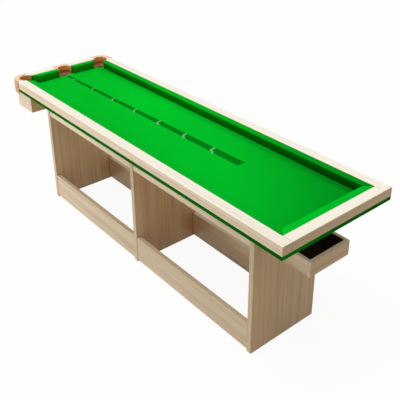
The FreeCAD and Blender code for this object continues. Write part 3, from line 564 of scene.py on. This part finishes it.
# Painted light and shade: innerTan and innerDeep are a redder copy of the leather for the shaded pocket
# wall, and pale stands for the light seen through the hole below
leatherColors = {"tan": (0.69, 0.335, 0.13), "deep": (0.51, 0.21, 0.07),
                 "innerTan": (1.0, 0.45, 0.145), "innerDeep": (0.97, 0.345, 0.09),
                 "pale": (0.99, 0.87, 0.72), "rubbed": (0.97, 0.78, 0.51)}
# Painted shade: a darker band round the pocket wall, just above the seam at the bed's level
seamShadeBand = {"middle": 0.8035, "half": 0.0085, "blur": 0.0025, "tint": (0.63, 0.38, 0.45)}


def leatherMaterial(name, tan, deep, coat=0.1, seamShaded=False):
    material, tree, shader = startMaterial(name)
    skin = placeGroup("leather", pieceCoordinates(tree), Tan=leatherColors[tan],
                      Deep=leatherColors[deep], Rubbed=leatherColors["rubbed"])
    color = skin.outputs["Color"]
    if seamShaded:
        height = splitAxes(pieceCoordinates(tree, vary=False))[2]
        color = mixColor(stripe(height, seamShadeBand), color, seamShadeBand["tint"], "MULTIPLY")
    finishShader(shader, skin, color, 0.5, 0.0004, {"Coat Weight": coat, "Coat Roughness": 0.35})
    return material


def metalMaterial(name, metal, gloss):
    material, tree, shader = startMaterial(name)
    skin = placeGroup("metal", pieceCoordinates(tree), Metal=metal, Gloss=gloss)
    finishShader(shader, skin, skin.outputs["Color"], 0.15, 0.0001, {"Metallic": 1.0})
    return material


railLook = {"bleach": 1.0, "tint": nearFaceShading["rail"], "jointed": True}
materials = {
    "railX": woodMaterial("railWoodLengthwise", "x", "rail", **railLook),
    "railY": woodMaterial("railWoodCrosswise", "y", "rail", **railLook),
    "baseX": woodMaterial("baseWoodLengthwise", "x", "base"),
    "nearX": woodMaterial("nearBayWoodLengthwise", "x", "near"),
    "backX": woodMaterial("backWoodLengthwise", "x", "back", bleach=1.0, pale=(1.0, 0.86, 0.62)),
    "topX": woodMaterial("topRailWood", "x", "top"),
    "nearTopX": woodMaterial("nearTopRailWood", "x", "nearTop"),
    "nearZ": woodMaterial("nearPanelWood", "z", "panel", tint=nearFaceShading["nearPanel"]),
    "middleZ": woodMaterial("middlePanelWood", "z", "panel", tint=nearFaceShading["middlePanel"]),
    "farZ": woodMaterial("farPanelWood", "z", "base", tint=nearFaceShading["farPanel"]),
    "trayX": woodMaterial("trayWoodLengthwise", "x", "base", bleach=1.0),
    "trayY": woodMaterial("trayWoodCrosswise", "y", "base", bleach=1.0),
    "rawX": woodMaterial("boxWoodLengthwise", "x", "raw", gloss=0.55, coat=0.0),
    "rawY": woodMaterial("boxWoodCrosswise", "y", "raw", gloss=0.55, coat=0.0),
    "bed": woodMaterial("bedBoardWood", "x", "bed", gloss=0.65, coat=0.0),
    "bedCloth": clothMaterial("bedWoolCloth", "bed", "edge", "edgeAcross", paintedLight=1.0, withLine=True),
    # painted light and shade: the near end cushion's top is a lighter copy of the cushion green and the
    # back cushion's a darker one
    "nearCushionCloth": clothMaterial("nearCushionCloth", "nearCushion", "face", paintedLight=0.4),
    "frontCushionCloth": clothMaterial("frontCushionCloth", "cushion", "face", paintedLight=0.8),
    "backCushionCloth": clothMaterial("backCushionCloth", "backCushion", "face", paintedLight=0.8),
    "farCushionCloth": clothMaterial("farCushionCloth", "cushion", "farFace"),
    "lining": clothMaterial("blackLiningCloth", "lining", "liningFace"),
    "thread": clothMaterial("waxedThread", "thread", "thread"),
    "leather": leatherMaterial("tanLeather", "tan", "deep"),
    "leatherInner": leatherMaterial("wornLeather", "innerTan", "innerDeep", seamShaded=True),
    "paleTrim": leatherMaterial("paleSuede", "pale", "pale", coat=0.0),
    "zinc": metalMaterial("zincPlatedSteel", (0.62, 0.62, 0.63), 0.3),
}
print("materials built:", len(materials))


# ---- the wood pieces that keep their solids
def namesWith(*words):
    return [name for name in nodes if all(word in name for word in words)]


easedEdge = {"board": 0.0009, "thinBoard": 0.0007, "weld": 1e-6, "flat": 0.5, "sharp": 40}
woodPieces = {
    "railX": ["front_rail", "back_rail"],
    "railY": ["near_end_rail", "far_front_rail", "far_back_rail"],
    "nearZ": ["near_leg_panel"],
    "middleZ": ["middle_leg_panel"],
    "farZ": ["far_leg_panel"],
    "baseX": namesWith("front_", "_far_bay"),
    "nearX": namesWith("front_", "_near_bay"),
    "backX": namesWith("back_", "_bay"),
    "trayX": ["tray_side_front", "tray_side_back", "tray_floor"],
    "trayY": ["tray_front"],
    "rawX": ["collector_front_wall", "collector_back_wall", "tenons"] + namesWith("trough"),
    "rawY": (["collector_outer_wall", "collector_inner_wall", "collector_floor"]
             + namesWith("collector_ramp")),
    "bed": ["bed_board"],
}


def easeEdges(name):
    # fine rounding along the sharp edges
    width = easedEdge["thinBoard" if "tray" in name or "collector" in name else "board"]
    for kind, settings in (
            ("WELD", {"merge_threshold": easedEdge["weld"]}),
            ("DECIMATE", {"decimate_type": "DISSOLVE", "angle_limit": math.radians(easedEdge["flat"])}),
            ("BEVEL", {"width": width, "segments": 2, "limit_method": "ANGLE",
                       "angle_limit": math.radians(easedEdge["sharp"])}),
            ("WEIGHTED_NORMAL", {"keep_sharp": False})):
        setAll(nodes[name].modifiers.new(kind.lower(), kind), settings)


for finish, names in woodPieces.items():
    for name in names:
        nodes[name].data.materials.clear()
        nodes[name].data.materials.append(materials[finish])
        if name not in ("bed_board", "tenons") and "_top_rail_" not in name:
            easeEdges(name)
print("wood edges eased")

# Top rails under the bed: the boards hang a little deeper than their solids
topRail = {"deeper": 0.010, "ease": 0.0009}


def makeTopRails():
    for name in namesWith("_top_rail_"):
        low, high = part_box(name)
        r = topRail["ease"]
        foot = low[2] - topRail["deeper"] + r
        section = []
        for corner, turn in (((low[1] + r, foot), 180), ((high[1] - r, foot), 270),
                             ((high[1] - r, high[2] - r), 0), ((low[1] + r, high[2] - r), 90)):
            section += arcPoints(corner, r, turn, turn + 90, 2)
        bm = bmesh.new()
        roundedSlab(bm, [section], low[0], high[0], r, r, steps=2, place=lambda y, z, x: (x, y, z))
        first, *others = name.split("_")
        pieceName = first + "".join(word.capitalize() for word in others)
        finish = "backX" if "back" in name else "nearTopX" if "near" in name else "topX"
        finishPiece(pieceName, bm, 40, [finish], name)


makeTopRails()
print("top rails made")

# ---- places that the pieces share, in metres
top = {"farEnd": -1.160, "nearEnd": 1.240, "side": 0.350, "bedTop": 0.794, "collarTop": 0.842,
       "bedFoot": 0.774, "skirtFoot": 0.761}

# Bed cloth: one sheet over the board, turned down at the edges and into the pockets
bedCloth = {"cornerRadius": 0.072, "holeRadius": 0.0470, "cornerInset": 0.074, "middleInset": 0.070,
            "middleReach": 0.020, "fold": 0.0022, "cutHole": 0.030}


def clothOutlines():
    far, near, side = top["farEnd"], top["nearEnd"], top["side"]
    r, hole, inset = bedCloth["cornerRadius"], bedCloth["holeRadius"], bedCloth["cornerInset"]
    outer = [(near, -side), (near, side)]
    outer += arcPoints((far + r, side - r), r, 90, 180, 14)
    outer += arcPoints((far + r, r - side), r, 180, 270, 14)
    holes = [arcPoints((far + inset, sign * (side - inset)), hole, 0, 360, 48)[:-1] for sign in (-1, 1)]
    half = math.degrees(math.acos(bedCloth["middleReach"] / hole))
    holes.append(arcPoints((far + bedCloth["middleInset"], 0), hole, half, 360 - half, 36))
    return [turned(outer)] + [turned(points, False) for points in holes]


def makeBedCloth():
    bm = bmesh.new()
    roundedSlab(bm, clothOutlines(), top["bedFoot"], top["bedTop"], bedCloth["fold"], closeLow=False)
    piece = finishPiece("bedCloth", bm, 50, ["bedCloth"], "bed_cloth")


makeBedCloth()
print("bed cloth made")

# Cushions: rubber with a rolled nose under tight cloth, cut at a slant beside the pockets.
# endRounding is how far each ring at an end lies back, and how much smaller it is
cushion = {"width": 0.043, "woodY": 0.296, "nearWood": 1.186, "farWood": -1.106, "facing": 0.005,
           "cornerWoodCut": 0.063, "cornerNoseCut": 0.050, "middleWoodCut": 0.052,
           "middleNoseCut": 0.057, "mitreGap": 0.0002, "glueGap": 0.0002, "mitreRound": 0.3,
           "lengths": 12, "endRounding": [(0.0, 0.0011), (0.0004, 0.0004), (0.0012, 0.0)]}
# section of a cushion: distance from the wood and height over the bed, in millimetres
cushionProfile = [(0.3, 0.3), (0.3, 45.2), (0.9, 45.9), (2.2, 46.0), (12, 46.0), (22, 45.9), (30, 45.7),
                  (35.5, 45.4), (37.6, 45.0), (39.2, 44.2), (40.4, 43.0), (41.1, 41.4), (41.5, 39.0),
                  (41.7, 35.0), (41.2, 29.0), (39.6, 20.0), (37.0, 9.0), (35.0, 2.0), (34.4, 0.3)]


def cushionBar(bm, place, begin, end, roundBegin=1.0, roundEnd=1.0):
    # place(along, u, z) gives a point; begin(u) and end(u) give the slanted ends
    rounding, lengths = cushion["endRounding"], cushion["lengths"]
    stations = [(0, back * roundBegin, shrink * roundBegin) for back, shrink in rounding]
    stations += [(i / lengths, 0.0, 0.0) for i in range(1, lengths)]
    stations += [(1, -back * roundEnd, shrink * roundEnd) for back, shrink in rounding[::-1]]
    outline = turned([(u / 1000, z / 1000) for u, z in cushionProfile])
    direction = 1 if end(0) > begin(0) else -1
    wrapRings(bm, [[bm.verts.new(place(begin(u) * (1 - t) + end(u) * t + shift * direction, u,
                                       top["bedTop"] + z)) for u, z in insetLoop(outline, shrink)]
                   for t, shift, shrink in stations], capped=True)


def slant(atWood, atNose):
    return lambda u: atWood + (atNose - atWood) * u / cushion["width"]


def cornerJaw(origin, sign, extra):
    woodCut = cushion["cornerWoodCut"]
    wood = origin + sign * (woodCut + extra)
    return slant(wood, wood + sign * (cushion["width"] + cushion["cornerNoseCut"] - woodCut))


def lengthwiseJaw(extra=0.0):
    return cornerJaw(cushion["farWood"], 1, extra)


def crosswiseJaw(extra=0.0):
    return cornerJaw(cushion["woodY"], -1, extra)


def middleJaw(extra=0.0):
    return slant(cushion["middleWoodCut"] + extra, cushion["middleNoseCut"] + extra)


def alongSide(sign):
    return lambda along, u, z: (along, sign * (cushion["woodY"] - u), z)


def alongFarEnd(sign):
    return lambda along, u, z: (cushion["farWood"] + u, sign * along, z)


def makeCushion(name, replaced, cloth, *bar):
    bm = bmesh.new()
    cushionBar(bm, *bar)
    piece = finishPiece(name, bm, 40, [cloth], replaced)


def makeCushions():
    gap, facing, tight = cushion["mitreGap"], cushion["facing"], cushion["mitreRound"]
    near, width, half = cushion["nearWood"], cushion["width"], cushion["woodY"] - cushion["mitreGap"]
    for sign, side in ((-1, "front"), (1, "back")):
        makeCushion(side + "Cushion", side + "_cushion", side + "CushionCloth", alongSide(sign),
                    lengthwiseJaw(facing), slant(near - gap, near - width - gap), 1.0, tight)
        makeCushion("far%sCushion" % side.capitalize(), "far_%s_cushion" % side, "farCushionCloth",
                    alongFarEnd(sign), middleJaw(facing), crosswiseJaw(facing))
    makeCushion("nearEndCushion", "near_end_cushion", "nearCushionCloth",
                lambda along, u, z: (near - u, along, z),
                slant(-half, width - half), slant(half, half - width), tight, tight)


def makeFacings():
    # rubber facings glued to the cushion ends, under the same cloth
    bm = bmesh.new()
    for sign in (-1, 1):
        for place, jaw in ((alongSide(sign), lengthwiseJaw), (alongFarEnd(sign), crosswiseJaw),
                           (alongFarEnd(sign), middleJaw)):
            cushionBar(bm, place, jaw(), jaw(cushion["facing"] - cushion["glueGap"]))
    finishPiece("jawFacings", bm, 40, ["farCushionCloth"], "jaw_facings")


makeCushions()
makeFacings()
print("cushions made")

# Leather collars of the pockets, in plan from the table's corner: u along X, v inwards
collar = {"radius": 0.044, "outer": 0.047, "skin": 0.003, "wing": 0.108, "bend": 0.070, "centre": 0.074,
          "meet": -102.3, "cornerReach": 0.014, "middleReach": 0.010, "middleCentre": 0.070,
          "middleHalf": 0.0518, "paleTop": 0.7835, "seam": 0.0011, "lip": 0.0014, "skinTop": 0.0002,
          "skinFoot": 0.0012, "trim": 0.0007, "trimTop": 0.0004, "stitchIn": 0.0028, "stitchEnd": 0.004}
# a stitch's rings: place along it, rise and width, as shares of its length and thickness
stitch = {"spacing": 0.0058, "length": 0.0036, "thick": 0.0005, "sides": 6,
          "rings": [(-0.5, -0.18, 0.35), (-0.36, 0.3, 0.9), (0, 0.54, 1.0), (0.36, 0.3, 0.9),
                    (0.5, -0.18, 0.35)]}


def mouthAngles(reach):
    # half the opening of a mouth in degrees, on its inner and its outer circle
    return [math.degrees(math.acos(reach / radius)) for radius in (collar["radius"], collar["outer"])]


def mouthArcs(centre, reach, facing, begin, end, steps):
    # round the outer circle to the mouth, round its wall and on along the outer circle
    openInner, openOuter = mouthAngles(reach)
    return (arcPoints(centre, collar["outer"], begin, facing - openOuter, steps)
            + arcPoints(centre, collar["radius"], facing - openInner, facing + openInner - 360, 40)
            + arcPoints(centre, collar["outer"], facing + openOuter, end, steps))


def cornerOutline(inside):
    # the corner's outer skin, closed by a line on its inner side
    skin, wing, bend = collar["skin"], collar["wing"], collar["bend"]
    return ([(wing, -skin), (wing, 0.0)] + inside + [(0.0, wing), (-skin, wing)]
            + arcPoints((bend, bend), bend + skin, 180, 270, 14))


def middleOutline(depth, inside):
    skin, half = collar["skin"], collar["middleHalf"]
    return [(-skin, -half), (depth, -half)] + inside + [(depth, half), (-skin, half)]


def liningOutline(reach, angle):
    openInner, openOuter = mouthAngles(reach)
    return (arcPoints((0, 0), collar["radius"], angle + openInner, angle + 360 - openInner, 36)
            + arcPoints((0, 0), collar["outer"], angle + 360 - openOuter, angle + openOuter, 36))


def addStitches(bm, path):
    # short raised stitches along a line in plan
    lengths = [math.dist(a, b) for a, b in zip(path, path[1:])]
    total, thick, sides = sum(lengths), stitch["thick"], stitch["sides"]
    count = int(total / stitch["spacing"])
    for i in range(count):
        want = (i + 0.5) * total / count
        k = 0
        while want > lengths[k]:
            want -= lengths[k]
            k += 1
        a, b = Vector(path[k]), Vector(path[k + 1])
        direction = (b - a).normalized()
        across = Vector((-direction.y, direction.x))
        rings = []
        for share, rise, wide in stitch["rings"]:
            spot = a + direction * (want + share * stitch["length"])
            ring = []
            for turn in range(sides):
                angle = math.radians(360 * turn / sides)
                flat = spot + across * (math.cos(angle) * thick * wide)
                height = top["collarTop"] + thick * (rise + math.sin(angle) * wide * 0.7)
                ring.append(bm.verts.new((flat.x, flat.y, height)))
            rings.append(ring)
        wrapRings(bm, rings, capped=True)


def makeCollar(name, replaced, block, skin, lining, mouth):
    # the block over the rails, the skin down the outside and the lining of the hole
    bm = bmesh.new()
    bedTop, paleTop = top["bedTop"], collar["paleTop"]
    for outline, low, high, roundTop, roundLow in (
            (block, bedTop, top["collarTop"], collar["lip"], collar["seam"]),
            (skin, top["skirtFoot"], bedTop, collar["skinTop"], collar["skinFoot"]),
            (lining, paleTop, bedTop, collar["seam"], collar["trim"]),
            (lining, top["bedFoot"], paleTop, collar["trimTop"], 0.0)):
        roundedSlab(bm, [turned(outline)], low, high, roundTop, roundLow)
    piece = finishPiece(name, bm, 40, ["leather", "leatherInner", "paleTrim"], replaced)
    # painted light and shade: the wall of the mouth gets its own redder leather for the shade inside
    # the pocket, and its foot is painted pale to stand for the light seen through the hole
    for face in piece.data.polygons:
        centre = face.center
        if math.dist(centre[:2], mouth) < collar["radius"] + 0.0002 and abs(face.normal.z) < 0.8:
            face.material_index = 2 if centre.z < paleTop else 1


def makeCollars():
    stitches = bmesh.new()
    far, centre, meet = top["farEnd"], (collar["centre"],) * 2, collar["meet"]
    bend, inset, end = (collar["bend"],) * 2, collar["stitchIn"], collar["wing"] - collar["stitchEnd"]
    block = cornerOutline(mouthArcs(centre, collar["cornerReach"], 45, meet, 90 - meet, 8))
    skin = cornerOutline(arcPoints(bend, bend[0], 270, 180, 14))
    seam = [(end, inset)] + arcPoints(bend, bend[0] - inset, 270, 180, 16) + [(inset, end)]
    for sign, side in ((-1, "front"), (1, "back")):
        corner = (far, sign * top["side"], -sign)
        mouth = moved([centre], *corner)[0]
        makeCollar(side + "CornerCollar", side + "_corner_collar", moved(block, *corner),
                   moved(skin, *corner), moved(liningOutline(collar["cornerReach"], 45), *mouth, -sign),
                   mouth)
        addStitches(stitches, moved(seam, *corner))
    depth, reach = collar["middleCentre"], collar["middleReach"]
    end = collar["middleHalf"] - collar["stitchEnd"]
    block = middleOutline(depth, mouthArcs((depth, 0.0), reach, 0, -90, 90, 4))
    makeCollar("middleCollar", "middle_collar", moved(block, far, 0),
               moved(middleOutline(0.0, []), far, 0),
               moved(liningOutline(reach, 0), far + depth, 0), (far + depth, 0.0))
    addStitches(stitches, moved([(inset, -end), (inset, end)], far, 0))
    finishPiece("collarStitches", stitches, 60, ["thread"])


makeCollars()
print("collars made")

# Black lining in the ball tray: floor and three walls with rounded inner corners
tray = {"panelX": 0.960, "roomEnd": 1.187, "room": 0.112, "low": 0.568, "rim": 0.634, "thick": 0.002,
        "corner": 0.006, "edge": 0.0007, "floorEdge": 0.0002}


def makeTrayLining():
    start, end, room, thick, r = (tray[key] for key in ("panelX", "roomEnd", "room", "thick", "corner"))
    outer = [(start, -room), (end, -room), (end, room), (start, room)]
    side, edge = room - thick, end - thick - r
    inner = ([(start, -side)] + arcPoints((edge, r - side), r, 270, 360, 5)
             + arcPoints((edge, side - r), r, 0, 90, 5) + [(start, side)])
    bm = bmesh.new()
    roundedSlab(bm, [turned(outer + inner[::-1])], tray["low"] + thick, tray["rim"], tray["edge"])
    roundedSlab(bm, [turned(outer)], tray["low"], tray["low"] + thick, tray["floorEdge"])
    finishPiece("trayLining", bm, 40, ["lining"], "tray_lining")


makeTrayLining()
print("tray lining made")

# Fasteners under the bed: hexagon bolts with washers, and angle brackets with screws
fastener = {"boltFlats": 0.013, "boltHead": 0.0053, "boltRadius": 0.004, "boltTop": 0.824,
            "washerRadius": 0.012, "washer": 0.002, "washerHole": 0.0042, "longBoltY": 0.323,
            "longBolts": (1.180, 0.665, 0.150, -0.365, -0.880), "nearBolt": (1.213, 0.200),
            "farBolt": (-1.120, 0.145), "boltSides": 36, "bracketY": 0.193, "bracketLeg": 0.035,
            "bracketWidth": 0.030, "bend": 0.0035, "steel": 0.002, "bracketsX": (0.24375, 0.70125),
            "screwSeat": 0.022, "screwHead": 0.004, "screwHeadHeight": 0.0025, "screwRadius": 0.002,
            "screwLength": 0.014, "crossAngle": 16}


def finishFastener(name, bm, replaced):
    finishPiece(name, bm, 32, ["zinc"], replaced)


def makeRailBolts():
    places = [(x, fastener["longBoltY"]) for x in fastener["longBolts"]]
    places += [fastener["nearBolt"], fastener["farBolt"]]
    bolts, washers = bmesh.new(), bmesh.new()
    seat, sides = top["bedFoot"] - fastener["washer"], fastener["boltSides"]
    flats, shank, end = fastener["boltFlats"] / 2, fastener["boltRadius"], fastener["boltTop"]
    rim, hole, head = fastener["washerRadius"], fastener["washerHole"], seat - fastener["boltHead"]
    for x0, y0 in [(x, sign * y) for x, y in places for sign in (-1, 1)]:
        spin = random.uniform(0, 60)

        def place(x, y, z):
            return (x0 + x, y0 + y, z)

        def hexagon(degrees):
            return flats / math.cos(math.radians((degrees + spin) % 60 - 30))

        # marked top, chamfered hexagon, bearing ring and shank; heights from the bottom up
        turnedShape(bolts, [(0.0032, head + 0.0006), (0.0034, head), (flats - 0.0003, head),
                            (hexagon, head + 0.0009), (hexagon, seat - 0.0005), (0.0062, seat - 0.0004),
                            (0.0062, seat - 0.00005), (shank, seat - 0.00005), (shank, end - 0.001),
                            (shank - 0.001, end)], place, sides)
        turnedShape(washers, [(hole, seat + 0.0003), (hole + 0.0003, seat), (rim - 0.0004, seat),
                              (rim, seat + 0.0004), (rim, seat + 0.0016), (rim - 0.0004, seat + 0.0020),
                              (hole + 0.0003, seat + 0.0020), (hole, seat + 0.0017)], place, sides)
    # the washers' flat ends give way to faces between the open rims
    caps = [face for face in washers.faces if len(face.verts) > 4]
    bmesh.ops.delete(washers, geom=caps, context="FACES_ONLY")
    bmesh.ops.bridge_loops(washers, edges=[edge for edge in washers.edges if len(edge.link_faces) == 1])
    finishFastener("railBolts", bolts, "rail_bolts")
    finishFastener("railWashers", washers, "rail_washers")


def crossRadius(wide, narrow):
    # outline of a cross recess
    angle = fastener["crossAngle"]
    return lambda degrees: wide if abs((degrees + 45) % 90 - 45) <= angle else narrow


def makeBrackets():
    brackets, screws = bmesh.new(), bmesh.new()
    leg, steel, half = fastener["bracketLeg"], fastener["steel"], fastener["bracketWidth"] / 2
    bend, under, seat = fastener["bend"], top["bedFoot"], fastener["screwSeat"]
    inner = bend - steel
    # section of the angle: along the bed first, then down the rail
    section = ([(0.0, -leg)] + arcPoints((bend, -bend), bend, 180, 90, 6) + [(leg, 0.0), (leg, -steel)]
               + arcPoints((steel + inner, -steel - inner), inner, 90, 180, 5) + [(steel, -leg)])
    head, rise, shank = fastener["screwHead"], fastener["screwHeadHeight"], fastener["screwRadius"]
    length = fastener["screwLength"]
    screw = [(crossRadius(0.0016, 0.0004), rise - 0.0014), (crossRadius(0.0022, 0.0007), rise),
             (head * 0.62, rise), (head * 0.84, rise * 0.86), (head * 0.96, rise * 0.58),
             (head, rise * 0.25), (head, 0.00005), (shank, 0.00005), (shank, -length * 0.75),
             (0.0003, -length)]
    for side in (-1, 1):
        wall = side * fastener["bracketY"]
        for x0 in (x * end for x in fastener["bracketsX"] for end in (-1, 1)):

            def place(u, v, w):
                return (x0 + w, wall - side * u, under + v)

            roundedSlab(brackets, [turned(section)], -half, half, 0.0005, 0.0005, steps=3, place=place)
            spin = random.uniform(0, 90)

            def underBed(x, y, z):
                c, s = math.cos(spin), math.sin(spin)
                return (x0 + x * c - y * s, wall - side * seat + x * s + y * c, under - steel - z)

            def intoRail(x, y, z):
                return (x0 + x, wall - side * (steel + z), under - seat + y)

            for spot in (underBed, intoRail):
                turnedShape(screws, screw, spot)
    finishFastener("bedBrackets", brackets, "bed_brackets")
    finishFastener("bracketScrews", screws, "bracket_screws")


makeRailBolts()
makeBrackets()
print("fasteners made")

# ---- floor, light and camera
studio = {"floorSize": 60.0, "floorDiffuse": (0.50, 0.50, 0.50), "floorSeen": (0.9, 0.9, 0.9),
          "whiteShare": 0.94, "ambient": 0.42, "ambientColor": (1.0, 0.88, 0.73)}
# strength, angle or size, colour, place and target of each lamp
lamps = {"keySun": (1.84, 28.0, (0.98, 1.0, 1.04), (-0.12, -0.24, 0.96), (0, 0, 0)),
         "sideSun": (0.14, 16.0, (1, 1, 1), (-0.35, -1.0, 0.02), (0, 0, 0)),
         "fillLamp": (84.0, 1.6, (1, 1, 1), (-3.2, -3.6, 0.5), (-0.6, -0.3, 0.6))}
view = {"place": (2.6030, -1.8873, 2.3149), "yaw": 140.967, "pitch": -25.651, "roll": -0.656,
        "lens": 57.919, "sensor_width": 36.0, "shift_x": 0.01525, "shift_y": -0.1739}


def seenRays(tree, *others):
    # 1 for rays from the camera and from glossy surfaces
    paths = addNode(tree, "LightPath").outputs
    seen = mathNode("MAXIMUM", paths["Is Camera Ray"], paths["Is Glossy Ray"])
    for other in others:
        seen = mathNode("MAXIMUM", seen, paths[other])
    return seen


def makeFloor():
    bm = bmesh.new()
    bmesh.ops.create_grid(bm, x_segments=2, y_segments=2, size=studio["floorSize"] / 2)
    floor = addObject("studioFloor", meshFromBmesh("studioFloor", bm))
    material, tree, shader = startMaterial("studioFloorWhite")
    tree.nodes.remove(shader)
    seen = seenRays(tree)
    diffuse = addNode(tree, "BsdfDiffuse", {
        "Color": mixColor(seen, studio["floorDiffuse"], studio["floorSeen"])})
    mix = addNode(tree, "MixShader", {
        0: times(seen, studio["whiteShare"]), 1: diffuse.outputs[0],
        2: addNode(tree, "Emission").outputs[0]})
    feed(tree.nodes["Material Output"].inputs["Surface"], mix.outputs[0])
    floor.data.materials.append(material)


def makeWorld():
    world = bpy.data.worlds.new("studioWorld")
    bpy.context.scene.world = world
    world.use_nodes = True
    tree = world.node_tree
    seen = seenRays(tree, "Is Transmission Ray")
    feedAll(tree.nodes["Background"], {
        "Color": mixColor(seen, studio["ambientColor"], (1, 1, 1)),
        "Strength": rampValue(seen, 0.0, 1.0, studio["ambient"], 1.0, smooth=False)})


def aimed(location, target, roll=0.0):
    forward = (Vector(target) - Vector(location)).normalized()
    right = forward.cross(Vector((0, 0, 1))).normalized()
    up = right.cross(forward)
    turn = Matrix((right, up, -forward)).transposed().to_4x4()
    return Matrix.Translation(location) @ turn @ Matrix.Rotation(roll, 4, "Z")


def makeLamps():
    for name, (strength, spread, color, place, target) in lamps.items():
        sun = "Sun" in name
        lamp = bpy.data.lights.new(name, "SUN" if sun else "AREA")
        size = {"angle": math.radians(spread)} if sun else {"size": spread}
        setAll(lamp, {"energy": strength, "color": color, **size})
        addObject(name, lamp).matrix_world = aimed(place, target)


def makeCamera():
    data = bpy.data.cameras.new("studioCamera")
    camera = addObject("studioCamera", data)
    yaw, pitch = math.radians(view["yaw"]), math.radians(view["pitch"])
    level = math.cos(pitch)
    forward = Vector((level * math.cos(yaw), level * math.sin(yaw), math.sin(pitch)))
    place, roll = Vector(view["place"]), math.radians(view["roll"])
    camera.matrix_world = aimed(place, place + forward, roll)
    setAll(data, {key: view[key] for key in ("lens", "sensor_width", "shift_x", "shift_y")})
    bpy.context.scene.camera = camera


makeFloor()
makeWorld()
makeLamps()
makeCamera()
bpy.context.scene.view_settings.view_transform = "Standard"
print("studio made")
